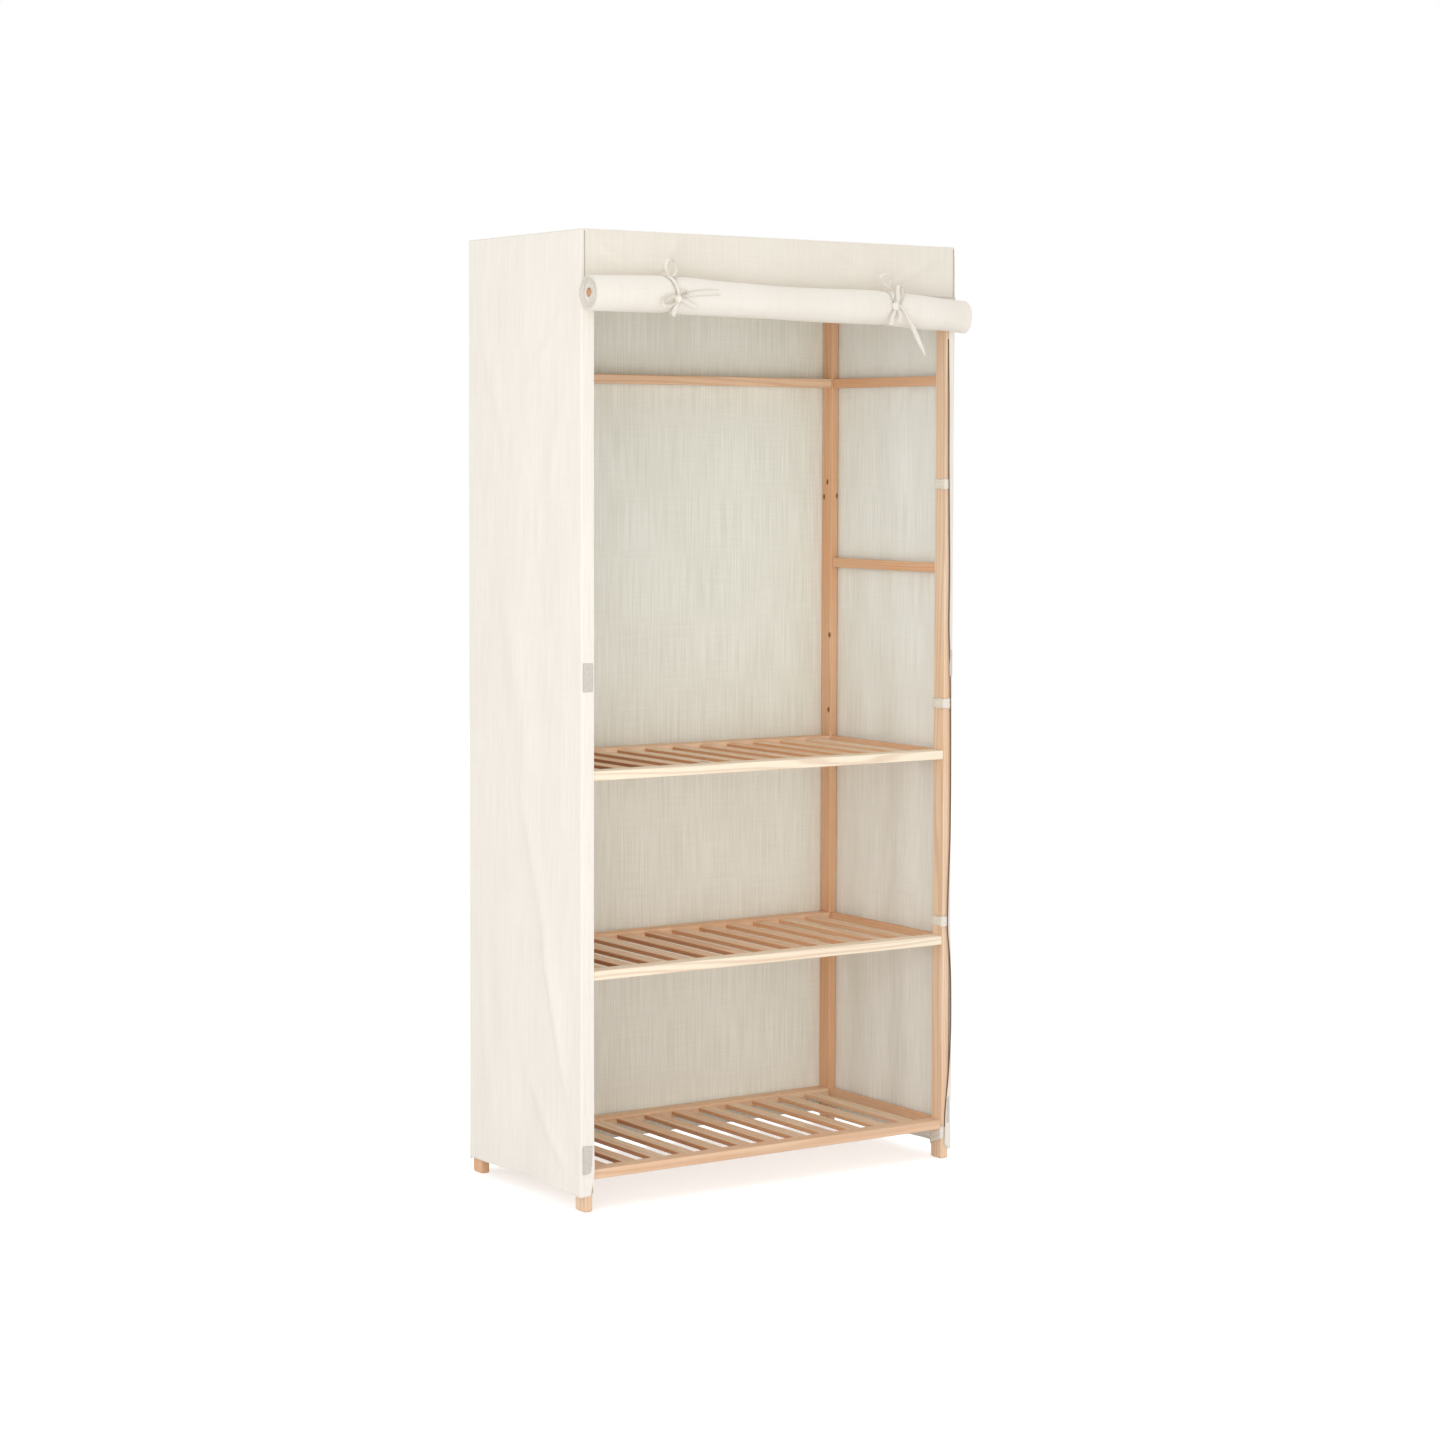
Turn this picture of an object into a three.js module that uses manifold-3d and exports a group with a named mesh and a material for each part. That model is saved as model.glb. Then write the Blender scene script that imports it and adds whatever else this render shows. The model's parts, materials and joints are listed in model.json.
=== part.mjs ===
// Portable fabric wardrobe: a pine frame with three slatted shelves and a hanging rod, dressed in a
// cotton cover. The front curtain is rolled up round a dowel and held by two tied tapes.
// Millimetres. X runs across the front, Y from front to back and Z up.
import * as THREE from 'three';
import { mergeVertices } from 'three/addons/utils/BufferGeometryUtils.js';
import Module from 'manifold-3d';

const wasm = await Module();
wasm.setup();

// Frame: the posts' outer faces, and the timber sections
const frameWidth = 790;
const frameDepth = 400;
const frameHeight = 1698;
const postWidth = 17;
const postDepth = 32;
const railHeight = 17;
const railDepth = 32;
const edgeRound = 2;

// Levels at even steps, from the first one's top to the last one's. The lowest ones carry a shelf,
// and the highest one has the rail across the back.
const lowestLevelTop = 73;
const highestLevelDrop = 235;
const levelCount = 5;
const shelfCount = 3;

// Rungs of the side frames, tenoned into the posts
const rungThickness = 10;
const rungHeight = 18;
const tenonLength = 10;
const tenonHeight = 12;

// Boards that carry the hanging rod
const boardHeight = 90;
const boardTenonHeight = 64;
const rodDrop = 66;
const rodDiameter = 25;
const rodSeatDepth = 6;

// Shelf slats, glued into the inner faces of their rails
const slatCount = 12;
const slatWidth = 30;
const slatThickness = 8;
const slatMargin = 27;
const slatRound = 1.5;
const slatSeat = 10;

// Countersunk screws from the posts' outer faces into the rails
const screwLength = 50;
const screwHeadDiameter = 11;
const screwHeadRim = 0.8;
const screwHeadHeight = 3.6;
const screwDiameter = 6;
const screwTipLength = 6;
const screwSunk = 0.5;

// Fits
const jointClearance = 0.3;
const overrun = 1;

// Cover
const clothThickness = 1.3;
const clothGap = 0.4;
const seamGap = 0.3;
const hemHeight = 24;
const valanceDrop = 100;
const sideFold = 7;
const leftFoldCount = 2;
const leftFoldLean = 0.6;
const rightFoldCount = 3;
const rightFoldLean = -0.5;
const backFold = 6;
const backFoldCount = 4;
const backFoldLean = 0.3;
const valanceFold = 1.2;
const valanceFoldCount = 3;
const valanceFoldLean = 0.2;
const foldAtTopShare = 0.35;
const foldEase = 1.5;
const roofCrown = 1.6;
const leftReturn = { top: 17.4, least: 17, hem: 19, hemEase: 1.5 };
const rightReturn = { top: 13, least: 4, hem: 11, hemEase: 8 };
const returnTopEase = 2;

// Grey closing patches on the front edges
const patchLength = 50;
const patchThickness = 1;
const leftPatchWidth = 15;
const rightPatchWidth = 6;
const patchInset = 0.5;
const lowerPatchHeight = 92;
const upperPatchShare = 0.548;

// Tabs sewn to the sides, which hold them to the front posts
const tabCount = 4;
const lowestTabHeight = 40;
const tabPitchShare = 0.24;
const tabWidth = 18;
const tabThickness = 1.2;

// Rolled curtain and its dowel
const curtainOverhang = 9;
const rollRadius = 32;
const rollDrop = 117;
const dowelDiameter = 20;
const dowelInset = 3;
const curtainOverlap = 10;
const floorClearance = 27;

// Tie tapes: each knot's place as a share of the way from the middle to the frame's side
const leftTieShare = -0.648;
const rightTieShare = 0.529;
const tapeWidth = 9;
const tapeThickness = 1;
const tapeClearance = 0.5;
const bandStart = THREE.MathUtils.degToRad(100);
const bandEnd = THREE.MathUtils.degToRad(325);
const knotWidth = 15;
const knotHeight = 13;
const knotDepth = 9;
const loopLength = 38;
const loopWidth = 17;
const standingLoopLength = 34;
const standingLoopWidth = 13;
const tailLength = 46;
const longTailLength = 92;
const tieHookRise = 14;
const standingTilt = THREE.MathUtils.degToRad(100);
const forkAngle = THREE.MathUtils.degToRad(60);
const leftLoopTilt = THREE.MathUtils.degToRad(190);
const leftTailTilt = THREE.MathUtils.degToRad(12);
const rightLoopTilt = THREE.MathUtils.degToRad(264);
const rightTailTilt = THREE.MathUtils.degToRad(-55);

// Smoothness
const cornerSteps = 2;
const screwSides = 8;
const rodSides = 24;
const spiralSteps = 18;
const bandSteps = 20;
const loopSteps = 12;
const tailSteps = 6;
const knotRings = 6;
const knotSides = 10;
const sideColumns = 12;
const sideRows = 22;
const backColumns = 18;
const backRows = 16;
const roofRows = 6;
const valanceRows = 4;
const returnRows = 10;
const sheetColumns = 8;

const pine = new THREE.MeshStandardMaterial({ color: 0xe2b287, roughness: 0.62, metalness: 0 });
const coverCloth = new THREE.MeshStandardMaterial({ color: 0xefe9de, roughness: 0.95, metalness: 0 });
const curtainCloth = new THREE.MeshStandardMaterial({ color: 0xf5efe4, roughness: 0.95, metalness: 0 });
const tape = new THREE.MeshStandardMaterial({ color: 0xf3ede2, roughness: 0.92, metalness: 0 });
const patchGrey = new THREE.MeshStandardMaterial({ color: 0xc9c8c2, roughness: 0.9, metalness: 0 });
const steel = new THREE.MeshStandardMaterial({ color: 0xb9bcc0, roughness: 0.35, metalness: 1 });

const lerp = THREE.MathUtils.lerp;

// Places that several pieces share
const railLength = frameWidth - 2 * postWidth;
const railCentreY = frameDepth / 2 - railDepth / 2;
const postCentreX = frameWidth / 2 - postWidth / 2;
const postCentreY = frameDepth / 2 - postDepth / 2;
const postInnerY = frameDepth / 2 - postDepth;
const levelPitch = (frameHeight - highestLevelDrop - lowestLevelTop) / (levelCount - 1);
const levelTops = Array.from({ length: levelCount }, (_, level) => lowestLevelTop + level * levelPitch);
const rodHeight = frameHeight - rodDrop;
const boardInnerX = postCentreX - rungThickness / 2;
const coverX = frameWidth / 2 + clothGap;
const coverY = frameDepth / 2 + clothGap;
const coverTop = frameHeight;
const valanceBottom = frameHeight - valanceDrop;
const frontFaceY = -coverY - clothThickness;
const valanceFrontY = frontFaceY - valanceFold;
const rollBackY = frontFaceY - patchThickness - clothGap;
const rollCentreY = rollBackY - rollRadius;
const rollHeight = frameHeight - rollDrop;
const curtainWidth = frameWidth + 2 * curtainOverhang;
const tabShare = (frontFaceY + postInnerY) / (2 * frontFaceY);

const wardrobe = new THREE.Group();

function add(name, geometry, material) {
  const mesh = new THREE.Mesh(geometry, material);
  mesh.name = name;
  wardrobe.add(mesh);
}

// A closed geometry as a solid for cutting and joining. Triangles without area, as at the poles of
// a lathe, are left out.
function solidOf(geometry) {
  const bare = geometry.clone();
  bare.deleteAttribute('normal');
  bare.deleteAttribute('uv');
  const merged = mergeVertices(bare);
  const corners = merged.index.array;
  const kept = [];
  for (let i = 0; i < corners.length; i += 3) {
    const [a, b, c] = corners.slice(i, i + 3);
    if (a !== b && b !== c && c !== a) {
      kept.push(a, b, c);
    }
  }
  return new wasm.Manifold(new wasm.Mesh({
    numProp: 3,
    vertProperties: merged.attributes.position.array,
    triVerts: new Uint32Array(kept),
  }));
}

function geometryOf(solid) {
  const mesh = solid.getMesh();
  const indexed = new THREE.BufferGeometry();
  indexed.setAttribute('position', new THREE.BufferAttribute(new Float32Array(mesh.vertProperties), 3));
  indexed.setIndex(new THREE.BufferAttribute(new Uint32Array(mesh.triVerts), 1));
  const geometry = indexed.toNonIndexed();
  geometry.computeVertexNormals();
  return geometry;
}

function cut(geometry, tools) {
  let solid = solidOf(geometry);
  for (const tool of tools) {
    solid = solid.subtract(solidOf(tool));
  }
  return geometryOf(solid);
}

function join(geometries) {
  let solid = solidOf(geometries[0]);
  for (const geometry of geometries.slice(1)) {
    solid = solid.add(solidOf(geometry));
  }
  return geometryOf(solid);
}

function roundedRectangle(width, height, radius) {
  const x = width / 2;
  const y = height / 2;
  const shape = new THREE.Shape();
  shape.moveTo(-x + radius, -y);
  shape.lineTo(x - radius, -y);
  shape.absarc(x - radius, -y + radius, radius, -Math.PI / 2, 0);
  shape.lineTo(x, y - radius);
  shape.absarc(x - radius, y - radius, radius, 0, Math.PI / 2);
  shape.lineTo(-x + radius, y);
  shape.absarc(-x + radius, y - radius, radius, Math.PI / 2, Math.PI);
  shape.lineTo(-x, -y + radius);
  shape.absarc(-x + radius, -y + radius, radius, Math.PI, 1.5 * Math.PI);
  return shape;
}

// A straight bar of the given section, centred, along Z
function bar(shape, length) {
  const geometry = new THREE.ExtrudeGeometry(shape, {
    depth: length,
    bevelEnabled: false,
    curveSegments: cornerSteps,
  });
  return geometry.translate(0, 0, -length / 2);
}

// The section's x turns to height and its y to depth
function barAlongX(shape, length) {
  return bar(shape, length).rotateY(Math.PI / 2);
}

// The section's x stays across and its y turns to height
function barAlongY(shape, length) {
  return bar(shape, length).rotateX(-Math.PI / 2);
}

// A countersunk screw, or with a clearance the hole for it. Side -1 enters from the left.
function screw(side, faceX, y, z, clearance) {
  const headRadius = screwHeadDiameter / 2 + clearance;
  const shankRadius = screwDiameter / 2 + clearance;
  const start = clearance > 0 ? -overrun : 0;
  const profile = [
    new THREE.Vector2(0, start),
    new THREE.Vector2(headRadius, start),
    new THREE.Vector2(headRadius, screwHeadRim + clearance),
    new THREE.Vector2(shankRadius, screwHeadHeight + clearance),
    new THREE.Vector2(shankRadius, screwLength - screwTipLength + clearance),
    new THREE.Vector2(0, screwLength + 2 * clearance),
  ];
  const geometry = new THREE.LatheGeometry(profile, screwSides);
  geometry.rotateZ(side * Math.PI / 2);
  return geometry.translate(side * (faceX - screwSunk), y, z);
}

// Long rails: name, side of the frame in Y, and top. Each has a screw in both ends.
const shelves = [];
for (let shelf = 0; shelf < shelfCount; shelf += 1) {
  const name = `shelf_${shelf + 1}`;
  shelves.push({
    name,
    front: { name: `${name}_front`, sideY: -1, top: levelTops[shelf] },
    back: { name: `${name}_back`, sideY: 1, top: levelTops[shelf] },
  });
}
const plainRails = [
  { name: 'upper_back', sideY: 1, top: levelTops[levelCount - 1] },
  { name: 'top_front', sideY: -1, top: frameHeight },
  { name: 'top_back', sideY: 1, top: frameHeight },
];
const longRails = [...shelves.flatMap(({ front, back }) => [front, back]), ...plainRails];

function railScrew(rail, side, clearance) {
  return screw(side, frameWidth / 2, rail.sideY * railCentreY, rail.top - railHeight / 2, clearance);
}

// Posts: drilled for the rails' screws and mortised for the rungs and the rod's boards
function post(sideX, sideY) {
  const shape = roundedRectangle(postWidth - 2 * edgeRound, postDepth - 2 * edgeRound, edgeRound / 2);
  const blank = new THREE.ExtrudeGeometry(shape, {
    depth: frameHeight - 2 * edgeRound,
    bevelThickness: edgeRound,
    bevelSize: edgeRound,
    bevelSegments: 1,
    curveSegments: 1,
  });
  blank.translate(sideX * postCentreX, sideY * postCentreY, edgeRound);
  const tools = longRails
    .filter((rail) => rail.sideY === sideY)
    .map((rail) => railScrew(rail, sideX, jointClearance));
  const mortises = levelTops.map((top) => ({ centre: top - rungHeight / 2, height: tenonHeight }));
  mortises.push({ centre: frameHeight - boardHeight / 2, height: boardTenonHeight });
  const depth = tenonLength + jointClearance + overrun;
  for (const { centre, height } of mortises) {
    const mortise = new THREE.BoxGeometry(
      rungThickness + 2 * jointClearance,
      depth,
      height + 2 * jointClearance,
    );
    mortise.translate(sideX * postCentreX, sideY * (postInnerY - overrun + depth / 2), centre);
    tools.push(mortise);
  }
  return cut(blank, tools);
}

for (const [sideX, sideName] of [[-1, 'left'], [1, 'right']]) {
  add(`post_front_${sideName}`, post(sideX, -1), pine);
  add(`post_back_${sideName}`, post(sideX, 1), pine);
}

// Rungs and boards: the outline has a tenon at each end
function tenonedBar(height, tenon) {
  const shoulder = postInnerY - jointClearance;
  const tip = postInnerY + tenonLength;
  const outline = [
    [-height / 2, -shoulder],
    [-tenon / 2, -shoulder],
    [-tenon / 2, -tip],
    [tenon / 2, -tip],
    [tenon / 2, -shoulder],
    [height / 2, -shoulder],
    [height / 2, shoulder],
    [tenon / 2, shoulder],
    [tenon / 2, tip],
    [-tenon / 2, tip],
    [-tenon / 2, shoulder],
    [-height / 2, shoulder],
  ];
  const shape = new THREE.Shape(outline.map(([x, y]) => new THREE.Vector2(x, y)));
  return barAlongX(shape, rungThickness);
}

function rodBoard(side) {
  const board = tenonedBar(boardHeight, boardTenonHeight);
  board.translate(side * postCentreX, 0, frameHeight - boardHeight / 2);
  const seatLength = rodSeatDepth + overrun;
  const seatRadius = rodDiameter / 2 + jointClearance;
  const seat = new THREE.CylinderGeometry(seatRadius, seatRadius, seatLength, rodSides);
  seat.rotateZ(Math.PI / 2);
  seat.translate(side * (boardInnerX - overrun + seatLength / 2), 0, rodHeight);
  return cut(board, [seat]);
}

for (const [side, sideName] of [[-1, 'left'], [1, 'right']]) {
  levelTops.forEach((top, level) => {
    const rung = tenonedBar(rungHeight, tenonHeight);
    rung.translate(side * postCentreX, 0, top - rungHeight / 2);
    add(`rung_${sideName}_${level + 1}`, rung, pine);
  });
  add(`rod_board_${sideName}`, rodBoard(side), pine);
}

// Hanging rod, seated in both boards
const rodLength = 2 * (boardInnerX + rodSeatDepth - jointClearance);
const rod = new THREE.CylinderGeometry(rodDiameter / 2, rodDiameter / 2, rodLength, rodSides);
rod.rotateZ(Math.PI / 2);
add('hanging_rod', rod.translate(0, 0, rodHeight), pine);

function railBlank({ sideY, top }) {
  const blank = barAlongX(roundedRectangle(railHeight, railDepth, edgeRound), railLength - 2 * jointClearance);
  return blank.translate(0, sideY * railCentreY, top - railHeight / 2);
}

function railHoles(rail) {
  return [-1, 1].map((side) => railScrew(rail, side, jointClearance));
}

for (const rail of plainRails) {
  add(`${rail.name}_rail`, cut(railBlank(rail), railHoles(rail)), pine);
}

// Shelves: a front and a back rail with the slats between them, glued to one piece
const slatPitch = (railLength - 2 * slatMargin - slatWidth) / (slatCount - 1);
const slatLength = frameDepth - 2 * railDepth + 2 * slatSeat;

function slat(shelf, index) {
  const x = -railLength / 2 + slatMargin + slatWidth / 2 + index * slatPitch;
  const geometry = barAlongY(roundedRectangle(slatWidth, slatThickness, slatRound), slatLength);
  return geometry.translate(x, 0, shelf.front.top - railHeight / 2);
}

for (const shelf of shelves) {
  const slats = Array.from({ length: slatCount }, (_, index) => slat(shelf, index));
  const glued = join([railBlank(shelf.front), railBlank(shelf.back), ...slats]);
  add(shelf.name, cut(glued, [...railHoles(shelf.front), ...railHoles(shelf.back)]), pine);
}

for (const rail of longRails) {
  add(`${rail.name}_screw_left`, railScrew(rail, -1, 0), steel);
  add(`${rail.name}_screw_right`, railScrew(rail, 1, 0), steel);
}

// A cloth panel as a closed thin solid: inner and outer give the two faces over s and t from 0 to 1.
// Each face is a grid, and the rim joins them.
function clothSolid(columns, rows, inner, outer) {
  const points = [];
  for (const face of [inner, outer]) {
    for (let row = 0; row <= rows; row += 1) {
      for (let column = 0; column <= columns; column += 1) {
        points.push(face(column / columns, row / rows));
      }
    }
  }
  const stride = columns + 1;
  const faceSize = stride * (rows + 1);
  const triangles = [];
  function quad(a, b, c, d) {
    triangles.push(a, b, c, a, c, d);
  }
  for (let row = 0; row < rows; row += 1) {
    for (let column = 0; column < columns; column += 1) {
      const corner = row * stride + column;
      quad(corner, corner + stride, corner + stride + 1, corner + 1);
      quad(
        faceSize + corner,
        faceSize + corner + 1,
        faceSize + corner + stride + 1,
        faceSize + corner + stride,
      );
    }
  }
  const rim = [];
  for (let column = 0; column < columns; column += 1) {
    rim.push(column);
  }
  for (let row = 0; row < rows; row += 1) {
    rim.push(row * stride + columns);
  }
  for (let column = columns; column > 0; column -= 1) {
    rim.push(rows * stride + column);
  }
  for (let row = rows; row > 0; row -= 1) {
    rim.push(row * stride);
  }
  rim.forEach((corner, place) => {
    const next = rim[(place + 1) % rim.length];
    quad(corner, next, next + faceSize, corner + faceSize);
  });
  if (signedVolume(points, triangles) < 0) {
    triangles.reverse();
  }
  const indexed = new THREE.BufferGeometry().setFromPoints(points);
  indexed.setIndex(triangles);
  const geometry = indexed.toNonIndexed();
  geometry.computeVertexNormals();
  return geometry;
}

function signedVolume(points, triangles) {
  const normal = new THREE.Vector3();
  let volume = 0;
  for (let i = 0; i < triangles.length; i += 3) {
    const [a, b, c] = triangles.slice(i, i + 3).map((index) => points[index]);
    volume += a.dot(normal.crossVectors(b, c));
  }
  return volume;
}

// Folds of hanging cloth: waves that lean a little and open towards the hem, and vanish at the
// two upright edges. From 0 to 1.
function hangingFold(s, t, waves, lean) {
  const wave = (1 - Math.cos(2 * Math.PI * (waves * s + lean * t))) / 2;
  const opening = lerp(1, foldAtTopShare, t ** (1 / foldEase));
  return wave * opening * Math.sin(Math.PI * s);
}

// Each side turns in round the front of its post, up to the valance. The turned-in width is the
// least one, and grows to another at the top and to another at the hem.
const returnTop = valanceBottom - seamGap;
const returnOuterX = coverX - seamGap;

function returnWidth({ top, least, hem, hemEase }, height) {
  const t = (height - hemHeight) / (returnTop - hemHeight);
  return least + (top - least) * t ** returnTopEase + (hem - least) * (1 - t) ** hemEase;
}

function sideReturn(side, widths) {
  const inner = (s, t) => {
    const height = lerp(hemHeight, returnTop, t);
    return new THREE.Vector3(side * (returnOuterX - s * returnWidth(widths, height)), -coverY, height);
  };
  const outer = (s, t) => inner(s, t).add(new THREE.Vector3(0, -clothThickness, 0));
  return clothSolid(1, returnRows, inner, outer);
}

add('cover_left_return', sideReturn(-1, leftReturn), coverCloth);
add('cover_right_return', sideReturn(1, rightReturn), coverCloth);

// Flat cloth straps sewn to the side's inner face run round the back and the inside of the front
// post. The left ones end behind the turned-in cloth. The right ones also cross the post's front
// face, up to the turned-in edge.
function postTab(side, height, sewnX) {
  const innerX = frameWidth / 2 - postWidth - clothGap;
  const backY = -(postInnerY - clothGap);
  const outline = [
    [innerX - tabThickness, backY + tabThickness],
    [sewnX, backY + tabThickness],
    [sewnX, backY],
    [innerX, backY],
  ];
  if (side < 0) {
    const frontY = seamGap - coverY;
    outline.push([innerX, frontY], [innerX - tabThickness, frontY]);
  } else {
    const edges = [height - tabWidth / 2, height + tabWidth / 2];
    const endX = returnOuterX - clothGap - Math.max(...edges.map((z) => returnWidth(rightReturn, z)));
    outline.push(
      [innerX, -coverY],
      [endX, -coverY],
      [endX, -coverY - tabThickness],
      [innerX - tabThickness, -coverY - tabThickness],
    );
  }
  const shape = new THREE.Shape(outline.map(([x, y]) => new THREE.Vector2(side * x, y)));
  return bar(shape, tabWidth).translate(0, 0, height);
}

function coverSide(side, waves, lean) {
  const clothX = (s, t) => coverX + sideFold * hangingFold(s, t, waves, lean);
  const inner = (s, t) => new THREE.Vector3(
    side * clothX(s, t),
    lerp(frontFaceY, -frontFaceY, s),
    lerp(hemHeight, coverTop, t),
  );
  const outer = (s, t) => inner(s, t).add(new THREE.Vector3(side * clothThickness, 0, 0));
  const tabs = [];
  for (let index = 0; index < tabCount; index += 1) {
    const height = lowestTabHeight + index * tabPitchShare * frameHeight;
    const t = (height - hemHeight) / (coverTop - hemHeight);
    tabs.push(postTab(side, height, clothX(tabShare, t) + clothThickness / 2));
  }
  return join([clothSolid(sideColumns, sideRows, inner, outer), ...tabs]);
}

add('cover_left', coverSide(-1, leftFoldCount, leftFoldLean), coverCloth);
add('cover_right', coverSide(1, rightFoldCount, rightFoldLean), coverCloth);

function coverBack() {
  const edge = coverX - seamGap;
  const inner = (s, t) => new THREE.Vector3(
    lerp(-edge, edge, s),
    coverY + backFold * hangingFold(s, t, backFoldCount, backFoldLean),
    lerp(hemHeight, coverTop, t),
  );
  const outer = (s, t) => inner(s, t).add(new THREE.Vector3(0, clothThickness, 0));
  return clothSolid(backColumns, backRows, inner, outer);
}

add('cover_back', coverBack(), coverCloth);

// The roof lies on the frame and rises to a low crown between the rails
function coverTopPanel() {
  const edgeX = coverX + clothThickness;
  const inner = (s, t) => new THREE.Vector3(
    lerp(-edgeX, edgeX, s),
    lerp(frontFaceY, -frontFaceY, t),
    coverTop + clothGap + roofCrown * Math.sin(Math.PI * s) * Math.sin(Math.PI * t) ** 2,
  );
  const outer = (s, t) => inner(s, t).add(new THREE.Vector3(0, 0, clothThickness));
  return clothSolid(sideColumns, roofRows, inner, outer);
}

add('cover_top', coverTopPanel(), coverCloth);

function coverValance() {
  const edge = coverX - seamGap;
  const inner = (s, t) => new THREE.Vector3(
    lerp(-edge, edge, s),
    -coverY - valanceFold * hangingFold(s, t, valanceFoldCount, valanceFoldLean),
    lerp(valanceBottom, coverTop, t),
  );
  const outer = (s, t) => inner(s, t).add(new THREE.Vector3(0, -clothThickness, 0));
  return clothSolid(backColumns, valanceRows, inner, outer);
}

add('cover_valance', coverValance(), coverCloth);

function closingPatch(centreX, width, height) {
  const patch = barAlongY(roundedRectangle(width, patchLength, patchInset), patchThickness - seamGap);
  return patch.translate(centreX, frontFaceY - seamGap - (patchThickness - seamGap) / 2, height);
}

const leftPatchX = -(returnOuterX - patchInset - leftPatchWidth / 2);
const rightPatchX = returnOuterX - patchInset - rightPatchWidth / 2;
const upperPatchHeight = upperPatchShare * frameHeight;
for (const [level, height] of [['lower', lowerPatchHeight], ['upper', upperPatchHeight]]) {
  add(`closing_patch_left_${level}`, closingPatch(leftPatchX, leftPatchWidth, height), patchGrey);
  add(`closing_patch_right_${level}`, closingPatch(rightPatchX, rightPatchWidth, height), patchGrey);
}

// Rolled curtain: one strip of cloth wound on the dowel. Its wound length reaches from the valance
// to the floor clearance, which sets the number of turns and with it the pitch of the spiral.
const curtainTravel = rollHeight - rollRadius - floorClearance;
const spiralInner = dowelDiameter / 2 + jointClearance + clothThickness / 2;
const spiralOuter = rollRadius - clothThickness / 2;
const spiralTurns = curtainTravel / (Math.PI * (spiralInner + spiralOuter));
const spiralPitch = (spiralOuter - spiralInner) / spiralTurns;

function curtainRoll() {
  const steps = Math.round(spiralTurns * spiralSteps);
  const outerSide = [];
  const innerSide = [];
  for (let step = 0; step <= steps; step += 1) {
    const angle = -2 * Math.PI * spiralTurns * step / steps;
    const radius = lerp(spiralOuter, spiralInner, step / steps);
    const direction = new THREE.Vector2(-Math.sin(angle), Math.cos(angle));
    outerSide.push(direction.clone().multiplyScalar(radius + clothThickness / 2));
    innerSide.push(direction.clone().multiplyScalar(radius - clothThickness / 2));
  }
  const shape = new THREE.Shape([...outerSide, ...innerSide.reverse()]);
  return barAlongX(shape, curtainWidth).translate(0, rollCentreY, rollHeight);
}

const leastGap = (spiralPitch - clothThickness) * Math.cos(Math.PI / spiralSteps);
console.log(`curtain roll: ${spiralTurns.toFixed(2)} turns, least gap ${leastGap.toFixed(2)} mm`);
add('curtain_roll', curtainRoll(), curtainCloth);

const dowelLength = curtainWidth - 2 * dowelInset;
const dowel = new THREE.CylinderGeometry(dowelDiameter / 2, dowelDiameter / 2, dowelLength, rodSides);
dowel.rotateZ(Math.PI / 2);
add('curtain_dowel', dowel.translate(0, rollCentreY, rollHeight), pine);

// The stretch of curtain from the valance's lower edge down to the back of the roll
function curtainSheet() {
  const top = valanceBottom + curtainOverlap;
  const bottom = rollHeight + seamGap;
  const inner = (s, t) => new THREE.Vector3(
    lerp(-curtainWidth / 2, curtainWidth / 2, s),
    lerp(rollBackY, valanceFrontY - seamGap, t),
    lerp(bottom, top, t),
  );
  const outer = (s, t) => inner(s, t).add(new THREE.Vector3(0, -clothThickness, 0));
  return clothSolid(sheetColumns, valanceRows, inner, outer);
}

add('curtain_sheet', curtainSheet(), curtainCloth);

// A flat tape's end in an upright plane, which runs straight from its start at an angle
function tapeEnd(start, length, angle) {
  const along = new THREE.Vector3(Math.cos(angle), 0, Math.sin(angle));
  const across = new THREE.Vector3(-Math.sin(angle), 0, Math.cos(angle));
  const inner = (s, t) => start.clone()
    .addScaledVector(along, length * t)
    .addScaledVector(across, lerp(-tapeWidth / 2, tapeWidth / 2, s));
  const outer = (s, t) => inner(s, t).add(new THREE.Vector3(0, -tapeThickness, 0));
  return clothSolid(1, tailSteps, inner, outer);
}

// A tape that stands on edge and returns to its start, as a bow's loop does. It is widest past its
// middle, and its inner outline is drawn in by the tape's thickness.
function tapeLoop(centre, length, width, angle) {
  const shape = new THREE.Shape();
  const hole = new THREE.Path();
  const outline = (grow) => Array.from({ length: loopSteps }, (_, step) => {
    const turn = 2 * Math.PI * step / loopSteps;
    const along = (length / 2 + grow) * (1 - Math.cos(turn)) - grow;
    const across = (width / 2 + grow) * Math.sin(turn) * Math.sin(turn / 2);
    return new THREE.Vector2(
      along * Math.cos(angle) - across * Math.sin(angle),
      along * Math.sin(angle) + across * Math.cos(angle),
    );
  });
  shape.setFromPoints(outline(0));
  hole.setFromPoints(outline(-tapeThickness).reverse());
  shape.holes.push(hole);
  const geometry = bar(shape, knotDepth - 2 * tapeClearance);
  geometry.rotateX(Math.PI / 2);
  return geometry.translate(centre.x, centre.y, centre.z);
}

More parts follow.
